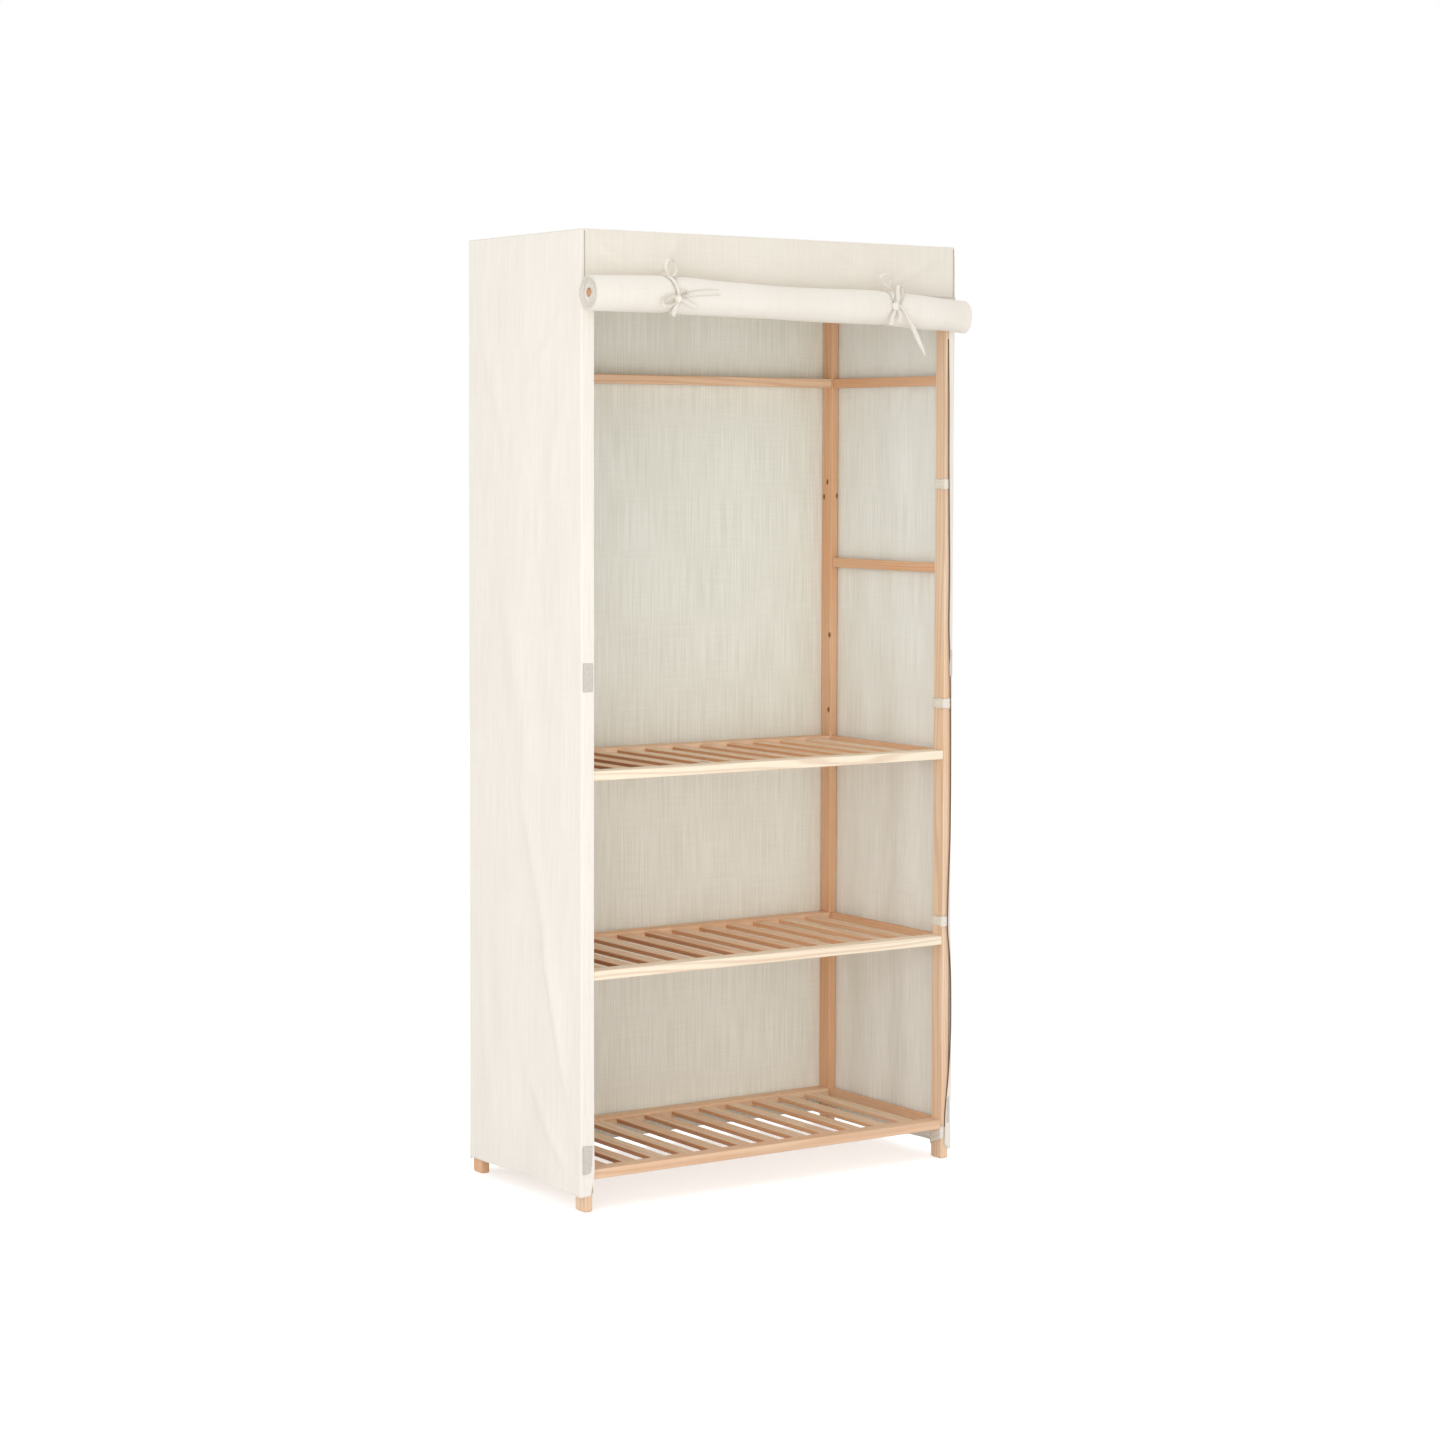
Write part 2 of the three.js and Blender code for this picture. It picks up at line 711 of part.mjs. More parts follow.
// The band goes from the valance over the roll, down its front and under it
function tieBand(x) {
  const innerRadius = rollRadius + tapeClearance;
  const outerRadius = innerRadius + tapeThickness;
  const hookY = valanceFrontY - seamGap - rollCentreY;
  const hookZ = innerRadius + tieHookRise;
  const outerSide = [[hookY, hookZ + tapeThickness]];
  const innerSide = [[hookY, hookZ]];
  for (let step = 0; step <= bandSteps; step += 1) {
    const angle = lerp(bandStart, bandEnd, step / bandSteps);
    outerSide.push([outerRadius * Math.cos(angle), outerRadius * Math.sin(angle)]);
    innerSide.push([innerRadius * Math.cos(angle), innerRadius * Math.sin(angle)]);
  }
  const outline = [...outerSide, ...innerSide.reverse()];
  const shape = new THREE.Shape(outline.map(([y, z]) => new THREE.Vector2(-z, y)));
  return barAlongX(shape, tapeWidth).translate(x, rollCentreY, rollHeight);
}

function tie(x, loopTilt, tailTilt, tailReach) {
  const frontY = rollCentreY - rollRadius - tapeClearance - tapeThickness;
  const knot = new THREE.SphereGeometry(1, knotSides, knotRings);
  knot.scale(knotWidth / 2, knotDepth / 2, knotHeight / 2);
  const knotCentre = new THREE.Vector3(x, frontY - tapeClearance - knotDepth / 2 + tapeThickness, rollHeight);
  knot.translate(knotCentre.x, knotCentre.y, knotCentre.z);
  const standing = new THREE.Vector3(x, rollCentreY, rollHeight + rollRadius + tapeClearance);
  return join([
    tieBand(x),
    knot,
    tapeLoop(standing, standingLoopLength, standingLoopWidth, standingTilt),
    tapeLoop(knotCentre, loopLength, loopWidth, loopTilt),
    tapeEnd(knotCentre, tailReach, tailTilt),
    tapeEnd(knotCentre, tailLength, tailTilt - forkAngle),
  ]);
}

const leftTieX = leftTieShare * frameWidth / 2;
const rightTieX = rightTieShare * frameWidth / 2;
add('tie_left', tie(leftTieX, leftLoopTilt, leftTailTilt, tailLength), tape);
add('tie_right', tie(rightTieX, rightLoopTilt, rightTailTilt, longTailLength), tape);

// The origin lies under the middle of the whole, on the floor
const bounds = new THREE.Box3().setFromObject(wardrobe);
const middle = bounds.getCenter(new THREE.Vector3());
wardrobe.position.set(-middle.x, -middle.y, -bounds.min.z);
console.log(`shift of the frame's middle: ${wardrobe.position.toArray().map((v) => v.toFixed(3))}`);
wardrobe.updateMatrixWorld(true);

export default wardrobe;
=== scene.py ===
# Looks of a portable fabric wardrobe: pine frame, slatted shelves, cotton cover, rolled curtain.
# Metres. X runs across the front, Y from front to back and Z up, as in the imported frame.
import json
import math

import bmesh
import bpy
import numpy as np
from mathutils import Euler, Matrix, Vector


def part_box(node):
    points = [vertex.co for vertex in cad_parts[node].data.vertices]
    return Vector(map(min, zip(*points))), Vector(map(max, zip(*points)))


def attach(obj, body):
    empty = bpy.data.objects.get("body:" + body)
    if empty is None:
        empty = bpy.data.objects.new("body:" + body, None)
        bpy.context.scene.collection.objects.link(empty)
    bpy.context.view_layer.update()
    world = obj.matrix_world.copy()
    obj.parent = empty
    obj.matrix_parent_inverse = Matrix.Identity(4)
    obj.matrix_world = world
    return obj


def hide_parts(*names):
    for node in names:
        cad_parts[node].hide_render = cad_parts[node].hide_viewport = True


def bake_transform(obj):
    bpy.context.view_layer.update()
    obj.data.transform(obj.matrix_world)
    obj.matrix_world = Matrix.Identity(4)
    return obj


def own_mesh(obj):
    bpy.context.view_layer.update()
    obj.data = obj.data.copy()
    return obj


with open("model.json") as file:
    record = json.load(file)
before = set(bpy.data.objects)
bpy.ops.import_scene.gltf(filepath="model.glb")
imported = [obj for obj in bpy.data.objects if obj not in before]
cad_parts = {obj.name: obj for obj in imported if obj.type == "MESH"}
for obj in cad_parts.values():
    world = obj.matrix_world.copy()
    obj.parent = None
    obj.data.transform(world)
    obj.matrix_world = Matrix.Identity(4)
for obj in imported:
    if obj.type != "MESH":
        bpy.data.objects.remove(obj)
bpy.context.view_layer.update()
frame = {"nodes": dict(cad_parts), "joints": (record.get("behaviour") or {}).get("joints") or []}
scene = bpy.context.scene
scene.view_settings.view_transform = "Standard"

# Places that many pieces share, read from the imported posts
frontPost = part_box("post_front_right")
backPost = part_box("post_back_right")
halfWidth = frontPost[1].x
postWidth = frontPost[1].x - frontPost[0].x
postDepth = frontPost[1].y - frontPost[0].y
frontY = frontPost[0].y
backY = backPost[1].y
midY = (frontY + backY) / 2
frameTop = frontPost[1].z
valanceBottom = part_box("cover_valance")[0].z
mm = 0.001


def tint(red, green, blue):
    # a screen colour from 0 to 255 as the linear colour that a shader takes
    share = np.array([red, green, blue]) / 255
    linear = np.where(share <= 0.04045, share / 12.92, ((share + 0.055) / 1.055) ** 2.4)
    return (*linear.tolist(), 1.0)


# Numbers to shapes

def linked(name, data):
    # a new object of the scene
    made = bpy.data.objects.new(name, data)
    scene.collection.objects.link(made)
    return made


def keepFields(mesh, fields):
    # stores a number or a vector at each point, where the materials read it
    for label, values in fields.items():
        kind, key = ("FLOAT_VECTOR", "vector") if values.ndim == 2 else ("FLOAT", "value")
        kept = mesh.attributes.new(label, kind, "POINT")
        kept.data.foreach_set(key, values.astype(np.float32).ravel())


def buildMesh(name, points, faces, uv=None, fields=None):
    # points (n, 3) and four-sided faces (m, 4) as whole arrays; fields are kept at each point
    mesh = bpy.data.meshes.new(name)
    faces = np.asarray(faces, np.int32)
    mesh.vertices.add(len(points))
    mesh.vertices.foreach_set("co", np.asarray(points, np.float32).ravel())
    mesh.loops.add(faces.size)
    mesh.loops.foreach_set("vertex_index", faces.ravel())
    mesh.polygons.add(len(faces))
    mesh.polygons.foreach_set("loop_start", np.arange(0, faces.size, 4, dtype=np.int32))
    mesh.update(calc_edges=True)
    mesh.validate()
    mesh.polygons.foreach_set("use_smooth", np.ones(len(mesh.polygons), bool))
    if uv is not None:
        layer = mesh.uv_layers.new(name="flat")
        used = np.zeros(len(mesh.loops), np.int32)
        mesh.loops.foreach_get("vertex_index", used)
        layer.data.foreach_set("uv", np.asarray(uv, np.float32)[used].ravel())
    keepFields(mesh, fields or {})
    return linked(name, mesh)


def facesOf(rows, columns, aroundRows=False, aroundColumns=False):
    # four corners of each cell of a grid, which may close on itself either way
    row = np.arange(rows if aroundRows else rows - 1)[:, None]
    column = np.arange(columns if aroundColumns else columns - 1)[None, :]
    nextRow, nextColumn = (row + 1) % rows, (column + 1) % columns
    cells = [row * columns + column, row * columns + nextColumn,
             nextRow * columns + nextColumn, nextRow * columns + column]
    return np.stack(np.broadcast_arrays(*cells), -1).reshape(-1, 4)


def turnedOut(points, faces):
    # reverses all faces if together they enclose a negative volume
    a, b, c, d = (points[faces[:, i]] for i in range(4))
    volume = np.einsum("ij,ij->i", a, np.cross(b, c)) + np.einsum("ij,ij->i", a, np.cross(c, d))
    return faces[:, ::-1] if volume.sum() < 0 else faces


def shell(name, inner, outer, uv):
    # cloth as a closed skin: two grids, one above the other, with a rim along their four edges
    rows, columns = inner.shape[:2]
    count = rows * columns
    face = facesOf(rows, columns)
    index = np.arange(count).reshape(rows, columns)
    rim = np.concatenate([index[0, :], index[1:, -1], index[-1, -2::-1], index[-2:0:-1, 0]])
    following = np.roll(rim, -1)
    wall = np.stack([following, rim, rim + count, following + count], -1)
    faces = np.concatenate([face + count, face[:, ::-1], wall])
    points = np.concatenate([inner.reshape(-1, 3), outer.reshape(-1, 3)])
    flat = np.concatenate([uv.reshape(-1, 2)] * 2)
    inside = np.repeat([1.0, 0.0], count)
    return buildMesh(name, points, turnedOut(points, faces), flat, {"inside": inside})


def smoothStep(value):
    # a soft step: three times the square less twice the cube, between 0 and 1
    value = np.clip(value, 0, 1)
    return value * value * (3 - 2 * value)


def grown(value, start, over):
    # 0 up to the start, and then a soft rise to 1
    return smoothStep((value - start) / over)


def softNoise(x, y, seed):
    # random heights from -1 to 1 on whole numbers of x and y, joined by smooth steps
    left, low = np.floor(x).astype(int), np.floor(y).astype(int)
    left0, low0 = left.min(), low.min()
    size = (low.max() - low0 + 2, left.max() - left0 + 2)
    heights = np.random.default_rng(seed).uniform(-1, 1, size)
    across, up = smoothStep(x - left), smoothStep(y - low)
    i, j = left - left0, low - low0
    lower = heights[j, i] * (1 - across) + heights[j, i + 1] * across
    upper = heights[j + 1, i] * (1 - across) + heights[j + 1, i + 1] * across
    return lower * (1 - up) + upper * up


def wrinkles(x, z, listed, seed):
    # noise for each listed (height, width across, length upwards, lean across, lean upwards)
    return sum(height * softNoise(x / across + z * leanAcross, z / upward + x * leanUp, seed + i)
               for i, (height, across, upward, leanAcross, leanUp) in enumerate(listed))


def creases(x, y, lines):
    # each line is (x0, y0, x1, y1, width, height): a ridge that fades out across and at its ends
    total = np.zeros(np.broadcast(x, y).shape)
    for x0, y0, x1, y1, width, height in lines:
        length = math.hypot(x1 - x0, y1 - y0)
        alongX, alongY = (x1 - x0) / length, (y1 - y0) / length
        along = ((x - x0) * alongX + (y - y0) * alongY) / length
        across = ((x - x0) * alongY - (y - y0) * alongX) / width
        fade = smoothStep(along * 4) * smoothStep((1 - along) * 4)
        total = total + height * fade * np.exp(-across ** 2)
    return total


def stacked(*parts):
    # arrays of matching shapes side by side in a new last axis
    return np.stack(np.broadcast_arrays(*parts), -1)


def lengthsAlong(path):
    # how far along the path each of its points lies
    return np.concatenate([[0], np.cumsum(np.linalg.norm(np.diff(path, axis=0), axis=1))])


def curveThrough(points, count):
    # a smooth line through the given points, cubic between each two, as evenly spaced points
    points = np.asarray(points, float)
    ends = np.concatenate([[2 * points[0] - points[1]], points, [2 * points[-1] - points[-2]]])
    place = np.linspace(0, len(points) - 1, count * 6)
    first = np.minimum(place.astype(int), len(points) - 2)
    t = (place - first)[:, None]
    a, b, c, d = (ends[first + i] for i in range(4))
    line = 0.5 * (2 * b + (c - a) * t + (2 * a - 5 * b + 4 * c - d) * t ** 2
                  + (3 * b - a - 3 * c + d) * t ** 3)
    length = lengthsAlong(line)
    even = np.linspace(0, length[-1], count)
    return np.stack([np.interp(even, length, column) for column in line.T], -1)


def unit(vectors):
    # each vector divided by its length
    return vectors / np.maximum(np.linalg.norm(vectors, axis=-1, keepdims=True), 1e-12)


def tube(name, path, radius, sides=10, closed=False):
    # a round line: circles square to the path, carried along it; capped unless it closes on itself
    ahead = np.roll(path, -1, 0) - np.roll(path, 1, 0)
    if not closed:
        ahead[0], ahead[-1] = path[1] - path[0], path[-1] - path[-2]
    ahead = unit(ahead)
    helper = np.where(np.abs(ahead[:, 2:3]) < 0.9, [[0.0, 0.0, 1.0]], [[1.0, 0.0, 0.0]])
    side = unit(np.cross(ahead, helper))
    up = np.cross(side, ahead)
    turn = np.linspace(0, 2 * np.pi, sides, endpoint=False)
    ring = np.cos(turn)[:, None] * side[:, None] + np.sin(turn)[:, None] * up[:, None]
    points = (path[:, None] + radius * ring).reshape(-1, 3)
    uv = stacked(turn * radius, lengthsAlong(path)[:, None]).reshape(-1, 2)
    faces = facesOf(len(path), sides, aroundRows=closed, aroundColumns=True)
    if not closed:
        points, faces, uv = withCaps(points, faces, path[[0, -1]], sides, uv)
    return buildMesh(name, points, turnedOut(points, faces), uv)


def withCaps(points, faces, ends, sides, uv=None):
    # closes both ends of a tube with a fan of four-sided cells round a middle point
    count = len(points)
    start = count - sides
    step = np.arange(0, sides, 2)
    first = np.stack([np.full_like(step, count), (step + 2) % sides, step + 1, step], -1)
    last = np.stack([np.full_like(step, count + 1), start + step, start + step + 1,
                     start + (step + 2) % sides], -1)
    if uv is not None:
        uv = np.concatenate([uv, uv[:1], uv[-1:]])
    return np.concatenate([points, ends]), np.concatenate([faces, first, last]), uv


def finishPiece(piece, material, nodes=(), body="wardrobe_frame"):
    # gives a piece its material, the body that it moves with and the solids it stands for
    piece.data.materials.append(material)
    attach(piece, body)
    if nodes:
        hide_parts(*nodes)
    return piece


# Shader helpers

def wire(tree, inputs, values):
    # links each value that is another node's output, and sets the others as plain values
    for key, value in values.items():
        if isinstance(value, bpy.types.NodeSocket):
            tree.links.new(value, inputs[key])
        else:
            inputs[key].default_value = value


def addNode(tree, kind, values=None, **settings):
    made = tree.nodes.new(kind)
    for key, value in settings.items():
        setattr(made, key, value)
    wire(tree, made.inputs, values or {})
    return made.outputs


def maths(tree, operation, *values):
    return addNode(tree, "ShaderNodeMath", dict(enumerate(values)), operation=operation)[0]


def vectorMaths(tree, operation, *values):
    return addNode(tree, "ShaderNodeVectorMath", dict(enumerate(values)), operation=operation)


def ranged(tree, value, limits, to=(0.0, 1.0)):
    # a smooth step from one number to another while the value goes from limit to limit
    values = {"Value": value, "From Min": limits[0], "From Max": limits[1],
              "To Min": to[0], "To Max": to[1]}
    return addNode(tree, "ShaderNodeMapRange", values, interpolation_type="SMOOTHSTEP")[0]


def mixed(tree, share, first, second):
    # the first colour where the share is 0 and the second where it is 1
    values = {0: share, 6: first, 7: second}
    return addNode(tree, "ShaderNodeMix", values, data_type="RGBA")[2]


def stretched(tree, vector, scale):
    return vectorMaths(tree, "MULTIPLY", vector, scale)[0]


def noise(tree, vector, scale, detail=2.0):
    # soft noise with its own number of repeats along each axis
    values = {"Vector": stretched(tree, vector, scale), "Scale": 1.0, "Detail": detail}
    return addNode(tree, "ShaderNodeTexNoise", values)["Fac"]


def newGroup(name, inputs, outputs):
    tree = bpy.data.node_groups.new(name, "ShaderNodeTree")
    for label, kind, value in inputs:
        socket = tree.interface.new_socket(name=label, in_out="INPUT", socket_type=kind)
        if value is not None:
            socket.default_value = value
    for label, kind in outputs:
        tree.interface.new_socket(name=label, in_out="OUTPUT", socket_type=kind)
    return tree, tree.nodes.new("NodeGroupInput").outputs, tree.nodes.new("NodeGroupOutput").inputs


def newMaterial(name):
    material = bpy.data.materials.new(name)
    material.use_nodes = True
    tree = material.node_tree
    return material, tree, tree.nodes["Principled BSDF"].inputs


def bumped(tree, height, strength, distance):
    values = {"Height": height, "Strength": strength, "Distance": distance}
    return addNode(tree, "ShaderNodeBump", values)["Normal"]


def apartOf(tree, vector):
    return addNode(tree, "ShaderNodeSeparateXYZ", {0: vector})


def flatPlace(tree):
    # where a point lies on its flat cloth, in metres
    return addNode(tree, "ShaderNodeUVMap", uv_map="flat")[0]


floatSocket, vectorSocket, colourSocket = "NodeSocketFloat", "NodeSocketVector", "NodeSocketColor"
fullTurn = 6.2832

# Scales are told in repeats to the metre; pairs say where a soft mask is empty and where it is full
pineGrain = {
    "bendScale": (14.0, 14.0, 1.1), "bend": 9.0, "slant": 0.45, "rings": 210.0,
    "ringMask": (-0.2, 1.0), "ringHeight": 0.4, "fibreScale": (1500.0, 1500.0, 26.0),
    "fibreMask": (0.45, 0.75), "fibreShare": 0.16, "broadScale": (30.0, 30.0, 2.6), "broad": 0.7,
    "knotScale": (46.0, 46.0, 7.0), "knotMask": (0.19, 0.07), "knotRare": (0.93, 0.95),
    "shadedMask": (1.0, 2.2),
}


def makeGrainGroup():
    # year rings as a wave across the bar, bent by slow noise; fine fibres; few small knots. A tone
    # above one leads on to the deep colour, which is painted shade on the slats' narrow sides.
    tree, given, out = newGroup("pineGrain", [
        ("Place", vectorSocket, None), ("Tone", floatSocket, 0.5), ("Ring Share", floatSocket, 0.3),
        *((name, colourSocket, None) for name in ("Pale", "Warm", "Ring", "Knot", "Shaded")),
    ], [("Color", colourSocket), ("Fibre", floatSocket), ("Height", floatSocket)])
    place, grain = given["Place"], pineGrain
    apart = apartOf(tree, place)
    bend = noise(tree, place, grain["bendScale"])
    across = maths(tree, "MULTIPLY_ADD", apart[1], grain["slant"], apart[0])
    phase = maths(tree, "MULTIPLY_ADD", across, grain["rings"],
                  maths(tree, "MULTIPLY", bend, grain["bend"]))
    wave = maths(tree, "SINE", maths(tree, "MULTIPLY", phase, fullTurn))
    ringMask = ranged(tree, wave, grain["ringMask"])
    fibre = noise(tree, place, grain["fibreScale"])
    broad = noise(tree, place, grain["broadScale"])
    cells = addNode(tree, "ShaderNodeTexVoronoi",
                    {"Vector": stretched(tree, place, grain["knotScale"]), "Scale": 1.0})
    chosen = addNode(tree, "ShaderNodeSeparateColor", {0: cells["Color"]})[0]
    knot = maths(tree, "MULTIPLY", ranged(tree, cells["Distance"], grain["knotMask"]),
                 ranged(tree, chosen, grain["knotRare"]))
    drift = maths(tree, "MULTIPLY_ADD", broad, grain["broad"], -grain["broad"] / 2)
    colour = mixed(tree, maths(tree, "ADD", given["Tone"], drift), given["Pale"], given["Warm"])
    ringShare = maths(tree, "MULTIPLY", ringMask, given["Ring Share"])
    fibreMask = ranged(tree, fibre, grain["fibreMask"])
    fibreShare = maths(tree, "MULTIPLY", fibreMask, grain["fibreShare"])
    # the deep colour, mixed in where the tone goes above one, is painted shade
    for share, name in ((ringShare, "Ring"), (fibreShare, "Ring"),
                        (ranged(tree, given["Tone"], grain["shadedMask"]), "Shaded"), (knot, "Knot")):
        colour = mixed(tree, share, colour, given[name])
    raised = maths(tree, "MULTIPLY_ADD", ringMask, grain["ringHeight"], fibre)
    wire(tree, out, {"Color": colour, "Fibre": fibre,
                     "Height": maths(tree, "SUBTRACT", raised, knot)})
    return tree


clothWeave = {
    "warpScale": (330.0, 8.0, 0.0), "weftScale": (10.0, 360.0, 0.0), "streakDetail": 3.0,
    "cloudScale": (8.0, 5.0, 0.0), "clouds": 0.7, "fineScale": (1500.0, 260.0, 0.0), "fine": 0.6,
    "yarnHeight": 0.25, "fineHeight": 0.3,
}


def makeWeaveGroup():
    # plain weave from two crossing waves; streaks of thick and thin yarn as long narrow noise along
    # the warp and the weft; slow clouds and fine fibres
    tree, given, out = newGroup("clothWeave", [
        ("Place", vectorSocket, None), ("Yarns", floatSocket, 900.0),
        ("Warp Slub", floatSocket, 1.5), ("Weft Slub", floatSocket, 0.8),
    ], [("Shade", floatSocket), ("Height", floatSocket)])
    place, detail = given["Place"], clothWeave["streakDetail"]
    apart = apartOf(tree, place)
    waves = []
    for axis in (0, 1):
        yarn = maths(tree, "MULTIPLY", apart[axis], given["Yarns"])
        waves.append(maths(tree, "SINE", maths(tree, "MULTIPLY", yarn, fullTurn)))
    weave = maths(tree, "MULTIPLY", *waves)
    fine = noise(tree, place, clothWeave["fineScale"])
    shade = 0.5
    for value, weight in (
            (noise(tree, place, clothWeave["warpScale"], detail), given["Warp Slub"]),
            (noise(tree, place, clothWeave["weftScale"], detail), given["Weft Slub"]),
            (noise(tree, place, clothWeave["cloudScale"], detail), clothWeave["clouds"]),
            (fine, clothWeave["fine"])):
        shade = maths(tree, "MULTIPLY_ADD", maths(tree, "SUBTRACT", value, 0.5), weight, shade)
    height = maths(tree, "MULTIPLY_ADD", weave, clothWeave["yarnHeight"], shade)
    height = maths(tree, "MULTIPLY_ADD", fine, clothWeave["fineHeight"], height)
    wire(tree, out, {"Shade": shade, "Height": height})
    return tree


def makeSpotGroup():
    # how near a point lies to a spot's centre, measured in the spot's own sizes
    tree, given, out = newGroup("knotSpot", [
        (name, vectorSocket, None) for name in ("Place", "Centre", "Stretch")
    ], [("Mask", floatSocket)])
    away = vectorMaths(tree, "SUBTRACT", given["Place"], given["Centre"])[0]
    distance = vectorMaths(tree, "LENGTH", stretched(tree, away, given["Stretch"]))["Value"]
    wire(tree, out, {"Mask": ranged(tree, distance, (1.0, 0.4))})
    return tree


stitchRow = {"band": (1.0, 0.5), "dash": (-0.75, -0.45), "furrow": (5.0, 0.0)}


def makeStitchGroup():
    # a row of thread dashes: a narrow band at one distance, cut into stitches by a wave along it;
    # band and furrow are told in widths of the thread
    tree, given, out = newGroup("stitchRow", [
        ("Across", floatSocket, 0.0), ("Along", floatSocket, 0.0), ("At", floatSocket, 0.0),
        ("Stitch", floatSocket, 0.0035), ("Thread", floatSocket, 0.0005),
    ], [("Thread Mask", floatSocket), ("Furrow", floatSocket)])
    away = maths(tree, "ABSOLUTE", maths(tree, "SUBTRACT", given["Across"], given["At"]))
    near = maths(tree, "DIVIDE", away, given["Thread"])
    stitches = maths(tree, "DIVIDE", given["Along"], given["Stitch"])
    wave = maths(tree, "SINE", maths(tree, "MULTIPLY", stitches, fullTurn))
    thread = maths(tree, "MULTIPLY", ranged(tree, near, stitchRow["band"]),
                   ranged(tree, wave, stitchRow["dash"]))
    wire(tree, out, {"Thread Mask": thread, "Furrow": ranged(tree, near, stitchRow["furrow"])})
    return tree


grainGroup, weaveGroup = makeGrainGroup(), makeWeaveGroup()
stitchGroup, spotGroup = makeStitchGroup(), makeSpotGroup()

pineLook = {"fibres": (0.3, 0.7), "smoother": 0.06, "rougher": 0.08, "bump": 0.35,
            "bumpDistance": 0.0004, "specular": 0.35}


def makePine(name, tints, roughness, ringShare, spots=()):
    # spots are knots at chosen places: centre and half sizes in metres
    material, tree, shader = newMaterial(name)
    grain = addNode(tree, "ShaderNodeGroup", {
        "Place": addNode(tree, "ShaderNodeAttribute", attribute_name="grain")["Vector"],
        "Tone": addNode(tree, "ShaderNodeAttribute", attribute_name="tone")["Fac"],
        "Ring Share": ringShare, **tints}, node_tree=grainGroup)
    colour = grain["Color"]
    where = addNode(tree, "ShaderNodeTexCoord")["Object"]
    for centre, halves in spots:
        spot = addNode(tree, "ShaderNodeGroup", {
            "Place": where, "Centre": centre, "Stretch": [1 / half for half in halves],
        }, node_tree=spotGroup)
        colour = mixed(tree, spot["Mask"], colour, tints["Knot"])
    rough = (roughness - pineLook["smoother"], roughness + pineLook["rougher"])
    wire(tree, shader, {
        "Base Color": colour, "Specular IOR Level": pineLook["specular"],
        "Roughness": ranged(tree, grain["Fibre"], pineLook["fibres"], rough),
        "Normal": bumped(tree, grain["Height"], pineLook["bump"], pineLook["bumpDistance"])})
    return material


clothLook = {"furrowShade": 0.35, "furrowDepth": -1.6, "threadHeight": 1.4,
             "roughness": (0.86, 0.96), "bump": 0.5, "bumpDistance": 0.0003, "specular": 0.2,
             "sheen": 0.12, "sheenRoughness": 0.6}


def makeCloth(name, light, dark, thread, stitches=(), yarns=900.0, warpSlub=1.5, weftSlub=0.8,
              paintedInsideLight=None):
    # stitches holds (axis that the row runs along, its distance on the other axis); the last
    # argument holds the two colours of the cloth's inner face, which are painted light: lighter
    # than the outer face
    material, tree, shader = newMaterial(name)
    place = flatPlace(tree)
    apart = apartOf(tree, place)
    weave = addNode(tree, "ShaderNodeGroup", {
        "Place": place, "Yarns": yarns, "Warp Slub": warpSlub, "Weft Slub": weftSlub,
    }, node_tree=weaveGroup)
    shade = ranged(tree, weave["Shade"], (0.0, 1.0))
    colour = mixed(tree, shade, light, dark)
    # painted light: the inner face takes its own lighter colours
    if paintedInsideLight:
        inside = addNode(tree, "ShaderNodeAttribute", attribute_name="inside")["Fac"]
        colour = mixed(tree, inside, colour, mixed(tree, shade, *paintedInsideLight))
    height = weave["Height"]
    for along, at in stitches:
        row = addNode(tree, "ShaderNodeGroup", {
            "Along": apart[along], "Across": apart[1 - along], "At": at}, node_tree=stitchGroup)
        furrow, mask = row["Furrow"], row["Thread Mask"]
        # painted shade: the colour darkens towards the dark tint in the furrow beside each stitch
        # row
        paintedFurrowShade = maths(tree, "MULTIPLY", furrow, clothLook["furrowShade"])
        colour = mixed(tree, mask, mixed(tree, paintedFurrowShade, colour, dark), thread)
        height = maths(tree, "MULTIPLY_ADD", furrow, clothLook["furrowDepth"], height)
        height = maths(tree, "MULTIPLY_ADD", mask, clothLook["threadHeight"], height)
    wire(tree, shader, {
        "Base Color": colour, "Specular IOR Level": clothLook["specular"],
        "Roughness": ranged(tree, weave["Shade"], (0.0, 1.0), clothLook["roughness"]),
        "Normal": bumped(tree, height, clothLook["bump"], clothLook["bumpDistance"]),
        "Sheen Weight": clothLook["sheen"], "Sheen Roughness": clothLook["sheenRoughness"]})
    return material


print("stage: materials")
# the deep colour of these tints is painted shade for the slats' narrow sides
pineTints = {"Pale": tint(253, 240, 216), "Warm": tint(231, 178, 134), "Ring": tint(203, 148, 110),
             "Knot": tint(138, 88, 56), "Shaded": tint(170, 112, 76)}
dowelTints = {"Pale": tint(226, 172, 128), "Warm": tint(205, 146, 102), "Ring": tint(160, 106, 70),
              "Knot": tint(100, 60, 36), "Shaded": tint(120, 76, 46)}
pine = makePine("pine", pineTints, 0.56, 0.30)
dowelWood = makePine("dowelWood", dowelTints, 0.6, 0.4)

# The back post on the right has knots that show. Inner ones are told by their depth behind the
# post's front face and their height, the front one by its way from the inner face and its height.
postKnots = {"size": (0.004, 0.0052, 0.0075), "front": (0.014, 1.236),
             "inner": [(0.013, 1.263), (0.024, 1.234), (0.004, 0.965), (0.006, 0.8185)]}


def knottyPost():
    # the frame's pine with the listed knots
    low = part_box("post_back_right")[0]
    inside, height = postKnots["front"]
    centres = [(low.x, low.y + depth, z) for depth, z in postKnots["inner"]]
    centres.append((low.x + inside, low.y, height))
    spots = [(centre, postKnots["size"]) for centre in centres]
    return makePine("knottyPine", pineTints, 0.56, 0.30, spots)


knottyPine = knottyPost()


# Timber. Tones run from 0 for pale wood to 1 for warm wood.

timber = {"bevel": 0.0007, "segments": 2, "mergeWithin": 1e-5, "flatWithin": 3.0, "sharpFrom": 30,
          "front": 0.48, "back": 0.86, "rung": 0.85, "board": 0.55, "rail": 0.6}


